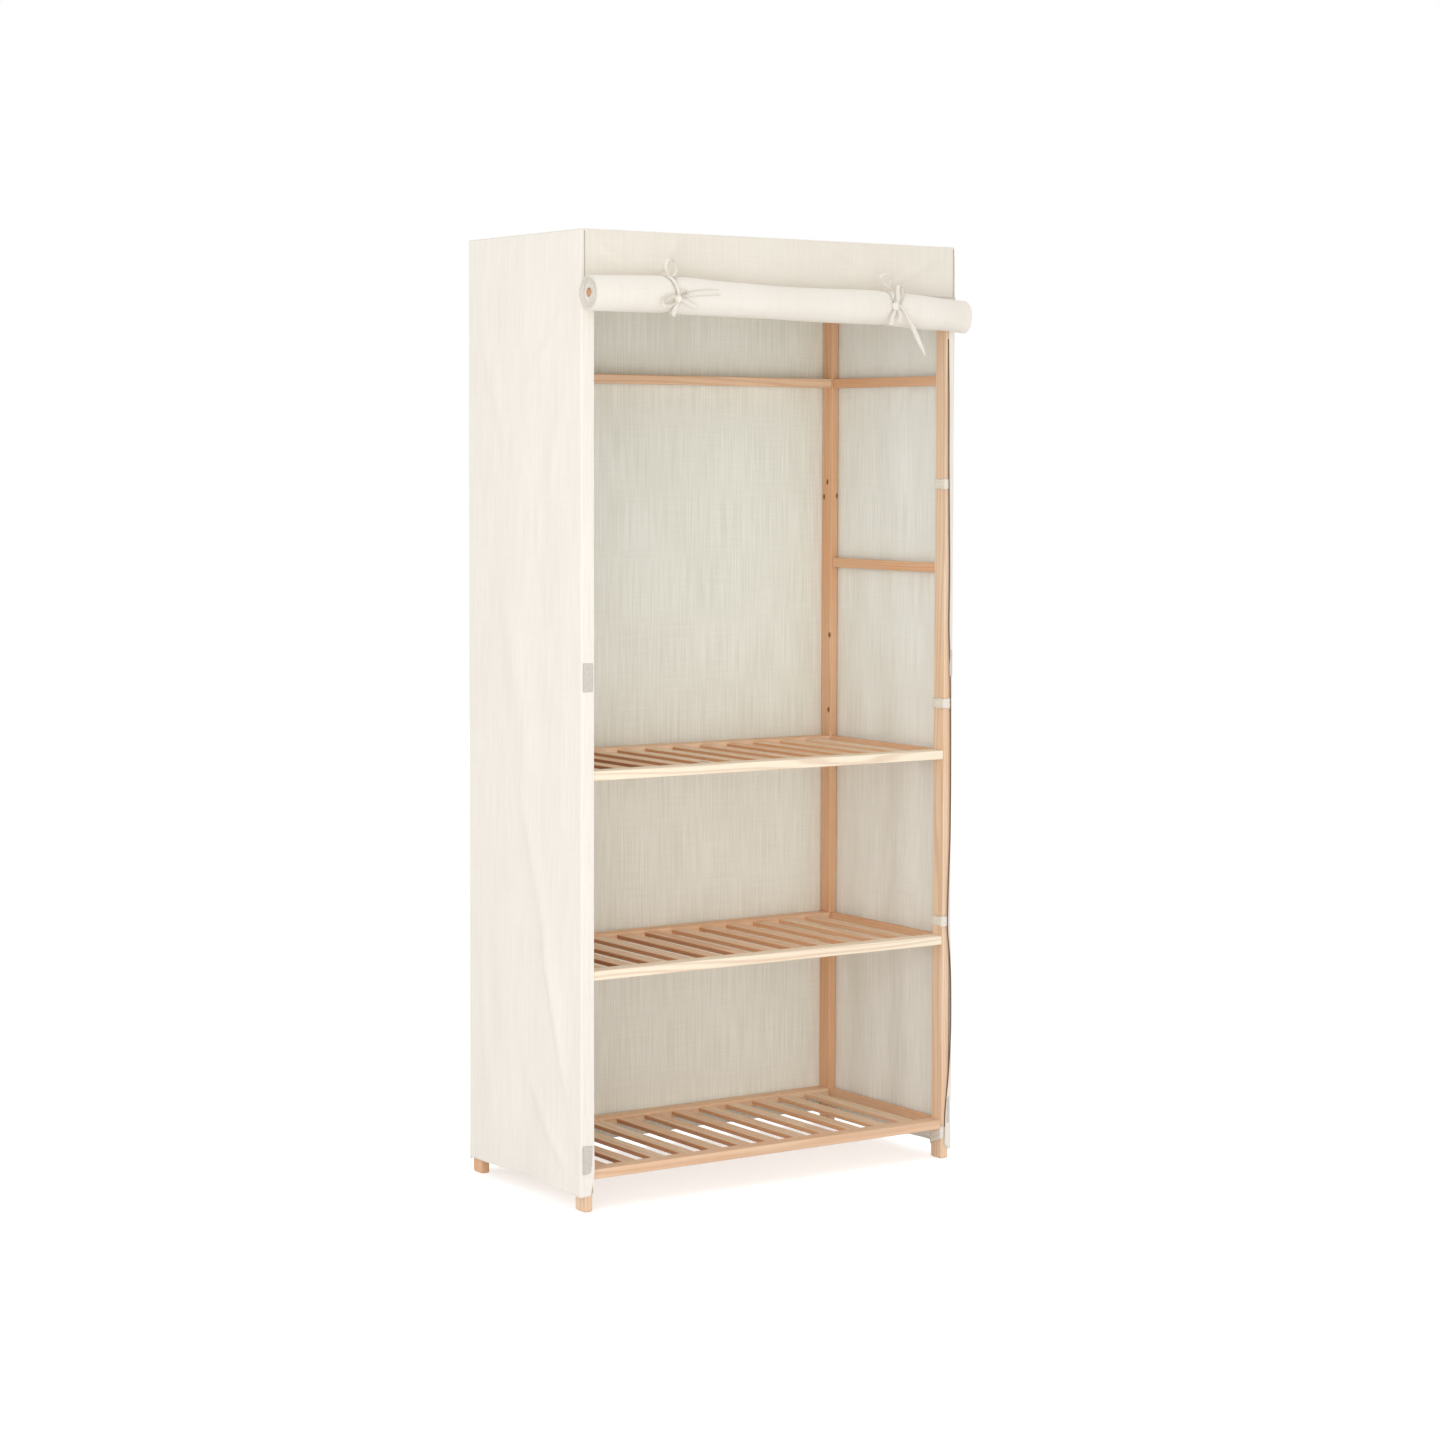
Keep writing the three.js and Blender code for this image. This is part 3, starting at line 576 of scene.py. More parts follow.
def grainOf(points, along, seed):
    # the place in the log: the bar's own length is the third axis, and a seed picks the log
    order = {0: (1, 2, 0), 1: (2, 0, 1), 2: (0, 1, 2)}[along]
    shift = np.random.default_rng(seed).uniform(-3, 3, 3)
    return points[:, order] + shift


def jointedTimber(node, along, seed, tone, material=pine):
    # a copy of the CAD bar with its tenons, mortises and drilled holes; its arrises are rounded
    work = bmesh.new()
    work.from_mesh(frame["nodes"][node].data)
    bmesh.ops.remove_doubles(work, verts=work.verts, dist=timber["mergeWithin"])
    bmesh.ops.dissolve_limit(work, angle_limit=math.radians(timber["flatWithin"]),
                             verts=work.verts, edges=work.edges)
    mesh = bpy.data.meshes.new(node + "_timber")
    work.to_mesh(mesh)
    work.free()
    points = np.zeros(len(mesh.vertices) * 3, np.float32)
    mesh.vertices.foreach_get("co", points)
    grain = grainOf(points.reshape(-1, 3).astype(float), along, seed)
    keepFields(mesh, {"grain": grain, "tone": np.full(len(mesh.vertices), tone)})
    mesh.polygons.foreach_set("use_smooth", np.ones(len(mesh.polygons), bool))
    made = linked(node + "_timber", mesh)
    rounding = made.modifiers.new("rounding", "BEVEL")
    rounding.width = timber["bevel"]
    rounding.segments = timber["segments"]
    rounding.limit_method = "ANGLE"
    rounding.angle_limit = math.radians(timber["sharpFrom"])
    made.modifiers.new("flatFaces", "WEIGHTED_NORMAL")
    finishPiece(made, material, [node])


barNumber = 0
for sideName in ("left", "right"):
    for rowName in ("front", "back"):
        node = f"post_{rowName}_{sideName}"
        jointedTimber(node, 2, 10 + barNumber, timber[rowName],
                      knottyPine if node == "post_back_right" else pine)
        barNumber += 1
    for level in range(1, 6):
        jointedTimber(f"rung_{sideName}_{level}", 1, 30 + barNumber, timber["rung"])
        barNumber += 1
    jointedTimber(f"rod_board_{sideName}", 1, 60 + barNumber, timber["board"])
for node in ("upper_back_rail", "top_front_rail", "top_back_rail"):
    barNumber += 1
    jointedTimber(node, 0, 80 + barNumber, timber["rail"])
print("stage: jointed timber", barNumber)


# Shelves: front and back rail with slats set into them. Sizes come from the imported shelf. The
# slats' narrow sides carry painted shade, darker than their faces and most so on the left.
shelfBars = {"railHeight": 0.017, "railDepth": 0.032, "slatCount": 12, "slatWidth": 0.030,
             "slatThickness": 0.008, "slatMargin": 0.027, "slatSeat": 0.010, "paintedShadeLeft": 1.65,
             "paintedShadeFall": 1.2, "railRound": 0.0022, "slatRound": 0.0016, "endRound": 0.0008,
             "cornerSteps": 4, "backTone": 0.65, "slatTones": (0.25, 0.72)}


def barPoints(centre, size, along, cornerRadius, seed, tone, paintedSideShade=0.0):
    # a rounded rectangle carried along the bar; its first and last ring are drawn in a little.
    # The narrow sides may carry painted shade, darker than the planed faces.
    others = [axis for axis in range(3) if axis != along]
    turn = np.linspace(0, np.pi / 2, shelfBars["cornerSteps"] + 1)
    corners = np.stack([np.cos(turn), np.sin(turn)], -1)
    arcs = [corners, corners[::-1]] * 2
    signs = np.array([[1, 1], [-1, 1], [-1, -1], [1, -1]], float)
    sideways = np.concatenate([arc[:, 0] for arc in arcs])
    rings = []
    for place, drawnIn in ((-0.5, 1), (-0.5, 0), (0.5, 0), (0.5, 1)):
        half = np.array([size[others[0]], size[others[1]]]) / 2 - drawnIn * shelfBars["endRound"]
        ring = np.zeros((len(sideways), 3))
        ring[:, others] = np.concatenate([sign * (half - cornerRadius + cornerRadius * arc)
                                          for sign, arc in zip(signs, arcs)])
        ring[:, along] = (place * size[along]
                          - math.copysign(shelfBars["endRound"], place) * (1 - drawnIn))
        rings.append(ring + centre)
    sides = len(sideways)
    ends = [rings[0].mean(0), rings[-1].mean(0)]
    faces = facesOf(len(rings), sides, aroundColumns=True)
    points, faces, _ = withCaps(np.concatenate(rings), faces, ends, sides)
    # painted shade on the narrow sides: the tone rises with how far each ring point faces sideways
    tones = tone + paintedSideShade * np.concatenate([np.tile(sideways, len(rings)), [0.0, 0.0]]) ** 2
    return points, turnedOut(points, faces), grainOf(points - centre, along, seed), tones


def slattedShelf(node, seed, frontTone):
    low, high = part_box(node)
    bars = shelfBars
    length = high.x - low.x
    railZ = high.z - bars["railHeight"] / 2
    railSize = (length, bars["railDepth"], bars["railHeight"])
    tones, made = (frontTone, bars["backTone"]), []
    for number, y in enumerate((low.y + bars["railDepth"] / 2, high.y - bars["railDepth"] / 2)):
        made.append(barPoints(np.array([0, y, railZ]), railSize, 0, bars["railRound"],
                              seed + number, tones[number]))
    innerDepth = high.y - low.y - 2 * bars["railDepth"]
    slatSize = (bars["slatWidth"], innerDepth + 2 * bars["slatSeat"], bars["slatThickness"])
    reach = length / 2 - bars["slatMargin"] - bars["slatWidth"] / 2
    tones = np.random.default_rng(seed).uniform(*bars["slatTones"], bars["slatCount"])
    for number, x in enumerate(np.linspace(-reach, reach, bars["slatCount"])):
        # painted shade, strongest on the leftmost slat and weaker towards the right
        paintedShade = bars["paintedShadeLeft"] - bars["paintedShadeFall"] * number / (bars["slatCount"] - 1)
        made.append(barPoints(np.array([x, midY, railZ]), slatSize, 1, bars["slatRound"],
                              seed + 10 + number, tones[number], paintedShade))
    starts = np.cumsum([0] + [len(part[0]) for part in made[:-1]])
    points, grain, tone = (np.concatenate([part[i] for part in made]) for i in (0, 2, 3))
    faces = np.concatenate([part[1] + start for part, start in zip(made, starts)])
    piece = buildMesh(node + "_timber", points, faces, fields={"grain": grain, "tone": tone})
    piece.modifiers.new("flatFaces", "WEIGHTED_NORMAL")
    finishPiece(piece, pine, [node])


slattedShelf("shelf_1", 200, 0.58)
slattedShelf("shelf_2", 300, 0.0)
slattedShelf("shelf_3", 400, -0.12)

# Rods: a nose is how far from each end the rod narrows, and by how much
turned = {"sides": 48, "stations": 14, "noseStep": 0.2, "noseNarrow": 0.85, "tone": 0.5,
          "nose": (0.0010, 0.0008), "dowelShorter": 0.010}


def turnedBar(name, ends, centre, radius, nose, material, body, seed, nodes=()):
    # a circle carried along X, which narrows twice towards each end
    first, last = ends
    x = np.array([first, first + turned["noseStep"] * nose[0],
                  *np.linspace(first + nose[0], last - nose[0], turned["stations"]),
                  last - turned["noseStep"] * nose[0], last])
    size = np.full(len(x), radius)
    size[[0, -1]] -= nose[1]
    size[[1, -2]] -= turned["noseNarrow"] * nose[1]
    turn = np.linspace(0, 2 * np.pi, turned["sides"], endpoint=False)
    rings = stacked(x[:, None], size[:, None] * np.cos(turn), size[:, None] * np.sin(turn))
    faces = facesOf(len(x), turned["sides"], aroundColumns=True)
    points, faces, _ = withCaps(rings.reshape(-1, 3), faces, [[first, 0, 0], [last, 0, 0]],
                                turned["sides"])
    fields = {"grain": grainOf(points, 0, seed), "tone": np.full(len(points), turned["tone"])}
    faces = turnedOut(points, faces)
    piece = buildMesh(name, points + np.array([0, *centre]), faces, fields=fields)
    finishPiece(piece, material, nodes, body)


def turnedRod(name, node, material, body, seed, shorter=0.0):
    # a round bar in the place of a packed rod
    low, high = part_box(node)
    turnedBar(name, (low.x, high.x - shorter), ((low.y + high.y) / 2, (low.z + high.z) / 2),
              (high.z - low.z) / 2, turned["nose"], material, body, seed, [node])


turnedRod("hanging_rod_turned", "hanging_rod", pine, "wardrobe_frame", 500)
turnedRod("curtain_dowel_turned", "curtain_dowel", dowelWood, "curtain_carrier", 510,
          turned["dowelShorter"])
print("stage: shelves and rods")

steelLook = {"streaks": (300.0, 5200.0, 5200.0), "detail": 3.0, "limits": (0.3, 0.7),
             "roughness": (0.24, 0.42), "bump": 0.2, "bumpDistance": 0.0001}


def makeSteel():
    # bright steel with fine turning marks
    material, tree, shader = newMaterial("screwSteel")
    place = addNode(tree, "ShaderNodeTexCoord")["Object"]
    streak = noise(tree, place, steelLook["streaks"], steelLook["detail"])
    wire(tree, shader, {
        "Base Color": mixed(tree, streak, tint(206, 208, 210), tint(160, 163, 168)),
        "Roughness": ranged(tree, streak, steelLook["limits"], steelLook["roughness"]),
        "Normal": bumped(tree, streak, steelLook["bump"], steelLook["bumpDistance"]),
        "Metallic": 1.0})
    return material


steel = makeSteel()
for name, node in frame["nodes"].items():
    if "_screw_" in name:
        node.data.materials.clear()
        node.data.materials.append(steel)


# Cover

cover = {
    "gap": 0.0004, "thickness": 0.0010, "hemThickness": 0.0017, "corner": 0.0032, "hem": 0.024,
    "hemFold": 0.034, "edgeFold": 0.010, "sideFold": 0.007, "backFold": 0.006,
    "valanceFold": 0.0012, "foldAtTop": 0.35, "foldEase": 1.5, "wide": 0.0052, "wideFrom": 0.018,
    "foldEdge": 0.002, "tautTop": 0.035, "stitchFront": 0.010, "stitchBack": 0.012,
    "stitchValance": 0.012,
}
coverX = halfWidth + cover["gap"]
coverFront = frontY - cover["gap"]
coverBack = backY + cover["gap"]
coverTop = frameTop + cover["gap"]
coverHeight = coverTop - cover["hem"]
arcLength = cover["corner"] * np.pi / 2
coreLow = np.array([-coverX, coverFront, -1.0]) + cover["corner"]
coreHigh = np.array([coverX, coverBack, coverTop]) - cover["corner"]


def hangingFold(s, t, waves, lean):
    # waves that lean a little and open towards the hem, and vanish at both upright edges
    wave = (1 - np.cos(2 * np.pi * (waves * s + lean * t))) / 2
    opening = 1 + (cover["foldAtTop"] - 1) * t ** (1 / cover["foldEase"])
    return wave * opening * np.sin(np.pi * s)


def roundCorner(q):
    # how far a point q past the start of a rounded corner has gone ahead and aside, and its normal
    angle = np.clip(q / cover["corner"], 0, np.pi / 2)
    beyond = np.maximum(q - arcLength, 0)
    ahead = cover["corner"] * np.sin(angle)
    aside = cover["corner"] * (1 - np.cos(angle)) + beyond
    return ahead, aside, np.cos(angle), np.sin(angle)


def overTheEdge(inner, normal):
    # above the start of the rounded top edges, a point moves on to the box with rounded edges
    core = np.clip(inner, coreLow, coreHigh)
    direction = unit(inner - core)
    high = inner[..., 2:] > coreHigh[2]
    moved = np.where(high, core + direction * cover["corner"], inner)
    return moved, np.where(high, direction, normal)


def looseLeft(points):
    # the cover hangs a little wide of the frame on its left, from top to hem
    out = smoothStep((-points[..., 0] - coverX + cover["wideFrom"]) / cover["wideFrom"])
    return points - out[..., None] * np.array([cover["wide"], 0, 0])


def coverPanel(name, inner, normal, thick, uv, material, nodes):
    # a panel of the cover between its inner face and the outer one, which lies along the normals
    made = shell(name, looseLeft(inner), looseLeft(inner + normal * thick), uv)
    return finishPiece(made, material, nodes)


def thicker(doubled):
    # the cloth's thickness, up to that of its hem where it lies doubled
    return cover["thickness"] + (cover["hemThickness"] - cover["thickness"]) * doubled


def upTo(bottom, rowCount):
    # heights from the bottom to the rounded edge, evenly, and then four closer rows over it
    return np.concatenate([np.linspace(bottom, coreHigh[2], rowCount),
                           np.linspace(coreHigh[2], coverTop, 5)[1:]])


def flatTop(z):
    # folds and wrinkles vanish towards the stretched top edge
    return smoothStep((coverTop - z) / cover["tautTop"])


def coverMaterials():
    # one cloth per kind of panel, with its rows of stitches
    light, dark, thread = tint(247, 241, 232), tint(240, 233, 223), tint(252, 249, 242)
    hemStitch = (0, cover["hem"] + cover["hemFold"])
    backStitch = coverX - cover["stitchBack"]
    return {
        # the inner faces get lighter colours of their own: painted light for the inside of the
        # wardrobe
        "side": makeCloth("coverSideCloth", light, dark, thread,
                          [hemStitch, (1, cover["stitchFront"])], warpSlub=1.8, weftSlub=0.4,
                          paintedInsideLight=(tint(252, 254, 250), tint(239, 240, 232))),
        "back": makeCloth("coverBackCloth", light, dark, thread,
                          [hemStitch, (1, -backStitch), (1, backStitch)], warpSlub=2.0,
                          weftSlub=0.6, paintedInsideLight=(tint(248, 249, 240), tint(235, 235, 224))),
        # painted shade: the valance is the same cloth, given darker colours because the front gets
        # less light
        "valance": makeCloth("valanceCloth", tint(240, 234, 222), tint(231, 224, 211), thread,
                             [(0, valanceBottom + cover["stitchValance"])], warpSlub=0.9,
                             weftSlub=0.6),
        "roof": makeCloth("roofCloth", light, dark, thread, paintedInsideLight=(tint(254, 254, 250), thread)),
        # painted shade: a dark cloth for thin tubes beside the upright seams, where shade falls
        # between cloths
        "seamShade": makeCloth("seamShadeCloth", tint(178, 170, 156), tint(160, 151, 136), thread),
        "piping": makeCloth("pipingCloth", tint(243, 237, 226), tint(230, 222, 208), thread,
                            yarns=1100.0, warpSlub=0.5, weftSlub=0.5),
    }


coverCloth = coverMaterials()

# How far each side turns in round its front post, how far its front corner stands out, and how far
# the turned-in edge stands off the post, all by height; and how the hem rises along the side
leftSide = {
    "height": [0.024, 0.057, 0.30, 0.896, 1.467, 1.60],
    "turnedIn": [0.0120, 0.0196, 0.0180, 0.0176, 0.0178, 0.0180],
    "flare": [0.0012, 0.0010, 0.0003, 0.0003, 0.001, 0.001],
    "standOff": ([0.0, 0.03, 0.06, 0.11, 1.60], [0.0006, 0.0026, 0.0026, 0.0006, 0.0]),
    "hemPlace": [0.0, 0.2, 0.5, 0.75, 1.0], "hemRise": [0.003, 0.006, 0.0097, 0.0073, 0.003],
    "returnRise": 0.003, "waves": 2, "lean": 0.6, "seed": 11,
    "creases": [
        (0.01, 0.10, 0.13, 0.50, 0.013, 0.0050), (0.04, 0.26, 0.22, 0.78, 0.020, 0.0045),
        (0.02, 0.04, 0.20, 0.24, 0.014, 0.0036), (0.04, 1.58, 0.20, 1.40, 0.016, 0.0026),
        (0.02, 1.46, 0.14, 1.20, 0.020, 0.0026), (0.36, 1.56, 0.24, 1.30, 0.020, 0.0028),
        (0.30, 0.10, 0.38, 0.50, 0.022, 0.0034), (0.16, 0.70, 0.26, 1.10, 0.028, 0.0030),
    ],
}
rightSide = {
    "height": [0.024, 0.070, 0.105, 0.15, 0.20, 0.25, 0.30, 0.35, 0.40, 0.43, 0.50,
               0.60, 0.70, 0.80, 0.90, 1.00, 1.10, 1.20, 1.30, 1.53, 1.60],
    "turnedIn": [0.0150, 0.0144, 0.0120, 0.0070, 0.0042, 0.0024, 0.0025, 0.0028, 0.0050, 0.0085,
                 0.0065, 0.0024, 0.0020, 0.0028, 0.0047, 0.0090, 0.0080, 0.0100, 0.0120, 0.0140,
                 0.0142],
    "flare": [0.0046, 0.0046, 0.0046, 0.0046, 0.0046, 0.0046, 0.0044, 0.0036, 0.0020, 0.0012,
              0.0004, 0.0, 0.0, 0.0002, 0.0004, 0.0006, 0.0006, 0.0008, 0.0010, 0.0018, 0.0018],
    "standOff": ([0.0, 0.13, 0.20, 1.42, 1.53], [0.0008, 0.0008, 0.0026, 0.0026, 0.0]),
    "hemPlace": [0.0, 0.12, 1.0], "hemRise": [-0.008, -0.001, 0.0],
    "returnRise": 0.010, "waves": 3, "lean": -0.5, "seed": 23,
    "creases": [
        (0.03, 0.20, 0.20, 0.05, 0.018, 0.0016), (0.02, 0.44, 0.18, 0.60, 0.020, 0.0015),
        (0.02, 0.86, 0.20, 1.10, 0.022, 0.0014), (0.05, 1.52, 0.22, 1.36, 0.018, 0.0014),
        (0.36, 1.50, 0.24, 1.20, 0.020, 0.0014), (0.30, 0.10, 0.36, 0.50, 0.022, 0.0014),
    ],
}


# Sizes that both side cloths share; the loose cloth starts behind the post, and ends short of the
# back corner
sideCloth = {
    "rows": 226, "topRows": 12, "returnColumns": 15, "columns": 84, "cornerSteps": 5,
    "looseFrom": 0.6, "looseOver": 0.06, "looseEnd": (0.02, 0.05),
    "wrinkles": [(0.0011, 0.045, 0.16, 0, 3), (0.0006, 0.016, 0.07, 4, 0)],
    "stand": 0.0008, "flareReach": 0.05, "hemReach": 0.11, "riseEase": 1.8, "edgeSoft": 0.0015,
    "valanceGap": 0.0003, "rowGap": 0.0001,
}
smoothing = {"reach": 0.03, "steps": 9, "width": 0.018}


def gentle(height, heights, values):
    # the listed values joined by straight lines and then smoothed over about 3 cm
    offsets = np.linspace(-smoothing["reach"], smoothing["reach"], smoothing["steps"])
    weights = np.exp(-(offsets / smoothing["width"]) ** 2)
    total = sum(w * np.interp(height + o, heights, values) for o, w in zip(offsets, weights))
    return total / weights.sum()


def byHeight(shape, key, z):
    # a measure of a side cloth that is listed by height
    return gentle(z, shape["height"], shape[key])


def edgeOff(shape, z, share):
    # how far the turned-in cloth stands off the post: nothing at the corner and most at its edge
    return gentle(z, *shape["standOff"]) * share ** 2


def sideLift(shape, y, away, z, t, end):
    # how far the side cloth stands out: main folds, wrinkles in its loose part, listed creases
    sizes = sideCloth
    fold = cover["sideFold"] * hangingFold((y - coverFront) / (coverBack - coverFront), t,
                                           shape["waves"], shape["lean"])
    loose = (grown(y - coverFront, postDepth * sizes["looseFrom"], sizes["looseOver"])
             * grown(end - y, *sizes["looseEnd"]))
    uneven = (wrinkles(away, z, sizes["wrinkles"], shape["seed"])
              + creases(away, z, shape["creases"]))
    return (fold + loose * (uneven + sizes["stand"])) * flatTop(z)


def coverSide(name, side, shape, nodes):
    # the cloth runs from its hem on the post's front, round the corner and along the side to the
    # back corner; forward is the way from the corner's start, and s runs from 0 to 1 along the side
    sizes = sideCloth
    returnTop = valanceBottom - sizes["valanceGap"]
    below = np.linspace(cover["hem"], returnTop, sizes["rows"])
    z = np.concatenate([below, upTo(returnTop + sizes["rowGap"], sizes["topRows"])])[:, None]
    t = (z - cover["hem"]) / coverHeight
    turnedIn = byHeight(shape, "turnedIn", z) + arcLength - cover["corner"]
    turnedIn = np.where(z > returnTop, arcLength / 2, turnedIn)
    flare = byHeight(shape, "flare", z) * flatTop(z)
    share = np.linspace(1, 0, sizes["returnColumns"])[None, :-1]
    forward = turnedIn * share
    ahead, aside, sideward, frontward = roundCorner(forward)
    ahead = ahead + edgeOff(shape, z, share) * (z < returnTop)
    s = np.linspace(0, 1, sizes["columns"])[None, :]
    start, end = coverFront + cover["corner"], coverBack - cover["corner"]
    y = start + s * (end - start)
    away = y - start
    lift = sideLift(shape, y, away, z, t, end) + flare * np.exp(-away / sizes["flareReach"])
    backward = np.linspace(0, arcLength / 2, sizes["cornerSteps"])[None, 1:]
    backAhead, backAside, backOut, backBehind = roundCorner(backward)

    def joinedAcross(front, middle, behind):
        parts = ((front, share), (middle, s), (behind, backward))
        return np.concatenate([np.broadcast_to(part, (len(z), like.shape[1]))
                               for part, like in parts], 1)

    x = joinedAcross(coverX + flare - aside, coverX + lift, coverX - backAside)
    yy = joinedAcross(start - ahead, y, end + backAhead)
    nearHem = 1 - grown(z, cover["hem"], sizes["hemReach"])
    rise = np.interp(s, shape["hemPlace"], shape["hemRise"])
    returnRise = rise[0, 0] + shape["returnRise"] * share ** sizes["riseEase"]
    zz = z + nearHem * joinedAcross(returnRise, rise, rise[0, -1])
    normal = stacked(side * joinedAcross(sideward, 1.0, backOut),
                     joinedAcross(-frontward, 0.0, backBehind), 0.0)
    inner, normal = overTheEdge(np.stack([side * x, yy, zz], -1), normal)
    run = joinedAcross(-forward, away, end - start + backward)
    doubled = 1 - grown(z - cover["hem"], cover["hemFold"], cover["foldEdge"])
    edge = 1 - grown(run + turnedIn, cover["edgeFold"], sizes["edgeSoft"])
    thick = thicker(np.maximum(doubled, edge * (z < returnTop)))[..., None]
    piece = coverPanel(name, inner, normal, thick, stacked(run, z), coverCloth["side"], nodes)
    return piece, float(turnedIn[:len(below)].mean() + end - start + arcLength / 2)


leftCloth, leftWidth = coverSide("cover_left_cloth", -1, leftSide,
                                 ["cover_left", "cover_left_return"])
rightCloth, rightWidth = coverSide("cover_right_cloth", 1, rightSide,
                                   ["cover_right", "cover_right_return"])


# The two cloths between upright corners: main folds, wrinkles and listed creases. Their loose part
# starts a little way from the corners.
backShape = {
    "bottom": cover["hem"], "hemFold": cover["hemFold"], "rows": 241, "columns": 131,
    "fold": cover["backFold"], "waves": 4, "lean": 0.3, "loose": (0.012, 0.04), "stand": 0.0008,
    "wrinkles": [(0.0009, 0.06, 0.2, 1, 0), (0.0005, 0.02, 0.06, 0, 0)], "seed": 31,
    "creases": [
        (-0.39, 1.080, 0.39, 1.083, 0.0045, 0.0016), (-0.39, 0.56, 0.39, 0.556, 0.005, 0.0010),
        (0.168, 0.05, 0.166, 1.69, 0.0045, 0.0013), (-0.20, 0.05, -0.203, 1.69, 0.005, 0.0010),
    ],
}
valanceShape = {
    "bottom": valanceBottom, "hemFold": cover["stitchValance"], "rows": 29, "columns": 181,
    "fold": cover["valanceFold"], "waves": 3, "lean": 0.2, "loose": (0.004, 0.03),
    "stand": 0.0005, "wrinkles": [(0.00098, 0.05, 0.04, 6, 0)], "seed": 41,
    "creases": [
        (-0.38, 1.68, -0.27, 1.62, 0.008, 0.00252), (-0.20, 1.69, -0.26, 1.62, 0.008, 0.00216),
        (0.36, 1.68, 0.24, 1.62, 0.008, 0.00216), (0.10, 1.69, 0.19, 1.63, 0.008, 0.00216),
        (-0.10, 1.67, 0.06, 1.655, 0.008, 0.00144), (0.30, 1.66, 0.38, 1.63, 0.007, 0.0018),
    ],
}


def uprightLift(shape, x, z):
    # how far the cloth stands out: main folds as in the solid, and in its loose part the wrinkles
    # and the listed creases
    s = np.clip((x + coverX) / (2 * coverX), 0, 1)
    t = (z - shape["bottom"]) / (coverTop - shape["bottom"])
    fold = shape["fold"] * hangingFold(s, t, shape["waves"], shape["lean"])
    uneven = wrinkles(x, z, shape["wrinkles"], shape["seed"]) + creases(x, z, shape["creases"])
    loose = grown(coverX - np.abs(x), *shape["loose"])
    return (fold + loose * (uneven + shape["stand"])) * flatTop(z)


def upright(name, edgeY, outward, shape, material, node):
    # a cloth between two rounded upright corners: x follows the cloth's width
    arc = np.linspace(arcLength / 2, 0, sideCloth["cornerSteps"] + 1)[:-1]
    ahead, aside, sideward, frontward = roundCorner(arc)
    reach = coverX - cover["corner"]
    columns = shape["columns"]
    middle = np.linspace(-reach, reach, columns)
    z = upTo(shape["bottom"], shape["rows"])[:, None]

    def mirrored(left, between, right):
        return np.concatenate([left, between, right[::-1]])

    width = mirrored(-reach - arc, middle, reach + arc)
    x = mirrored(-reach - ahead, middle, reach + ahead)
    inset = mirrored(aside, np.zeros(columns), aside)
    normal = stacked(mirrored(-frontward, np.zeros(columns), frontward),
                     outward * mirrored(sideward, np.ones(columns), sideward), 0.0 * z)
    y = edgeY + outward * (uprightLift(shape, width[None, :], z) - inset[None, :])
    inner, normal = overTheEdge(stacked(x, y, z), normal)
    doubled = 1 - grown(z - shape["bottom"], shape["hemFold"], cover["foldEdge"])
    piece = coverPanel(name, inner, normal, thicker(doubled)[..., None], stacked(width, z),
                       material, [node])
    return piece, 2 * reach + arcLength


backCloth, backWidth = upright("cover_back_cloth", coverBack, 1, backShape, coverCloth["back"],
                               "cover_back")
valanceCloth, valanceWidth = upright("cover_valance_cloth", coverFront, -1, valanceShape,
                                     coverCloth["valance"], "cover_valance")

roofShape = {"columns": 117, "rows": 57, "borderSteps": 5, "crown": 0.0014, "stand": 0.0006,
             "wrinkles": [(0.0006, 0.05, 0.07, 0, 0)], "seed": 51, "looseAcross": 8, "looseDeep": 6}


def coverRoof():
    # a flat cloth with a low crown, whose border runs over the rounded edges to meet the uprights;
    # in each corner the square of the grid is drawn in to a quarter of a disc
    bend = cover["corner"]
    border = np.linspace(0, bend, roofShape["borderSteps"])[1:]

    def withBorder(reach, count):
        return np.concatenate([-reach - border[::-1], np.linspace(-reach, reach, count),
                               reach + border])

    reachX, reachY = coreHigh[0], (coreHigh[1] - coreLow[1]) / 2
    u = withBorder(reachX, roofShape["columns"])[None, :]
    v = withBorder(reachY, roofShape["rows"])[:, None]
    coreU, coreV = np.clip(u, -reachX, reachX), np.clip(v, -reachY, reachY)
    overU, overV = (u - coreU) / bend, (v - coreV) / bend
    x = coreU + bend * overU * np.sqrt(1 - overV ** 2 / 2)
    y = midY + coreV + bend * overV * np.sqrt(1 - overU ** 2 / 2)
    inner, normal = overTheEdge(stacked(x, y, coverTop), np.array([0.0, 0.0, 1.0]))
    a, b = coreU / reachX, coreV / reachY
    loose = (smoothStep((1 - np.abs(a)) * roofShape["looseAcross"])
             * smoothStep((1 - np.abs(b)) * roofShape["looseDeep"]))
    crown = roofShape["crown"] * np.cos(np.pi * a / 2) * np.cos(np.pi * b / 2) ** 2
    uneven = wrinkles(u, v, roofShape["wrinkles"], roofShape["seed"])
    lift = crown + loose * (roofShape["stand"] + uneven)
    edge = bend * np.pi / 4
    uv = stacked(coreU + edge * overU, coreV + edge * overV)
    piece = coverPanel("cover_top_cloth", inner + normal * lift[..., None], normal,
                       cover["thickness"], uv, coverCloth["roof"], ["cover_top"])
    return piece, (2 * (reachX + edge), 2 * (reachY + edge))


roofCloth, roofSize = coverRoof()
print("stage: cover cloths")

edgeRow = {"low": 0.060, "high": 1.530, "count": 180, "radius": 0.0011, "inside": 0.0002,
        "behind": 0.0001}
# painted shade: a dark brown cord where the right cloth's edge shades its post
edgeShadeCord = makeCloth("edgeShadeCloth", tint(128, 96, 70), tint(92, 66, 46), tint(118, 88, 64),
                     yarns=700.0, warpSlub=0.6, weftSlub=1.4)


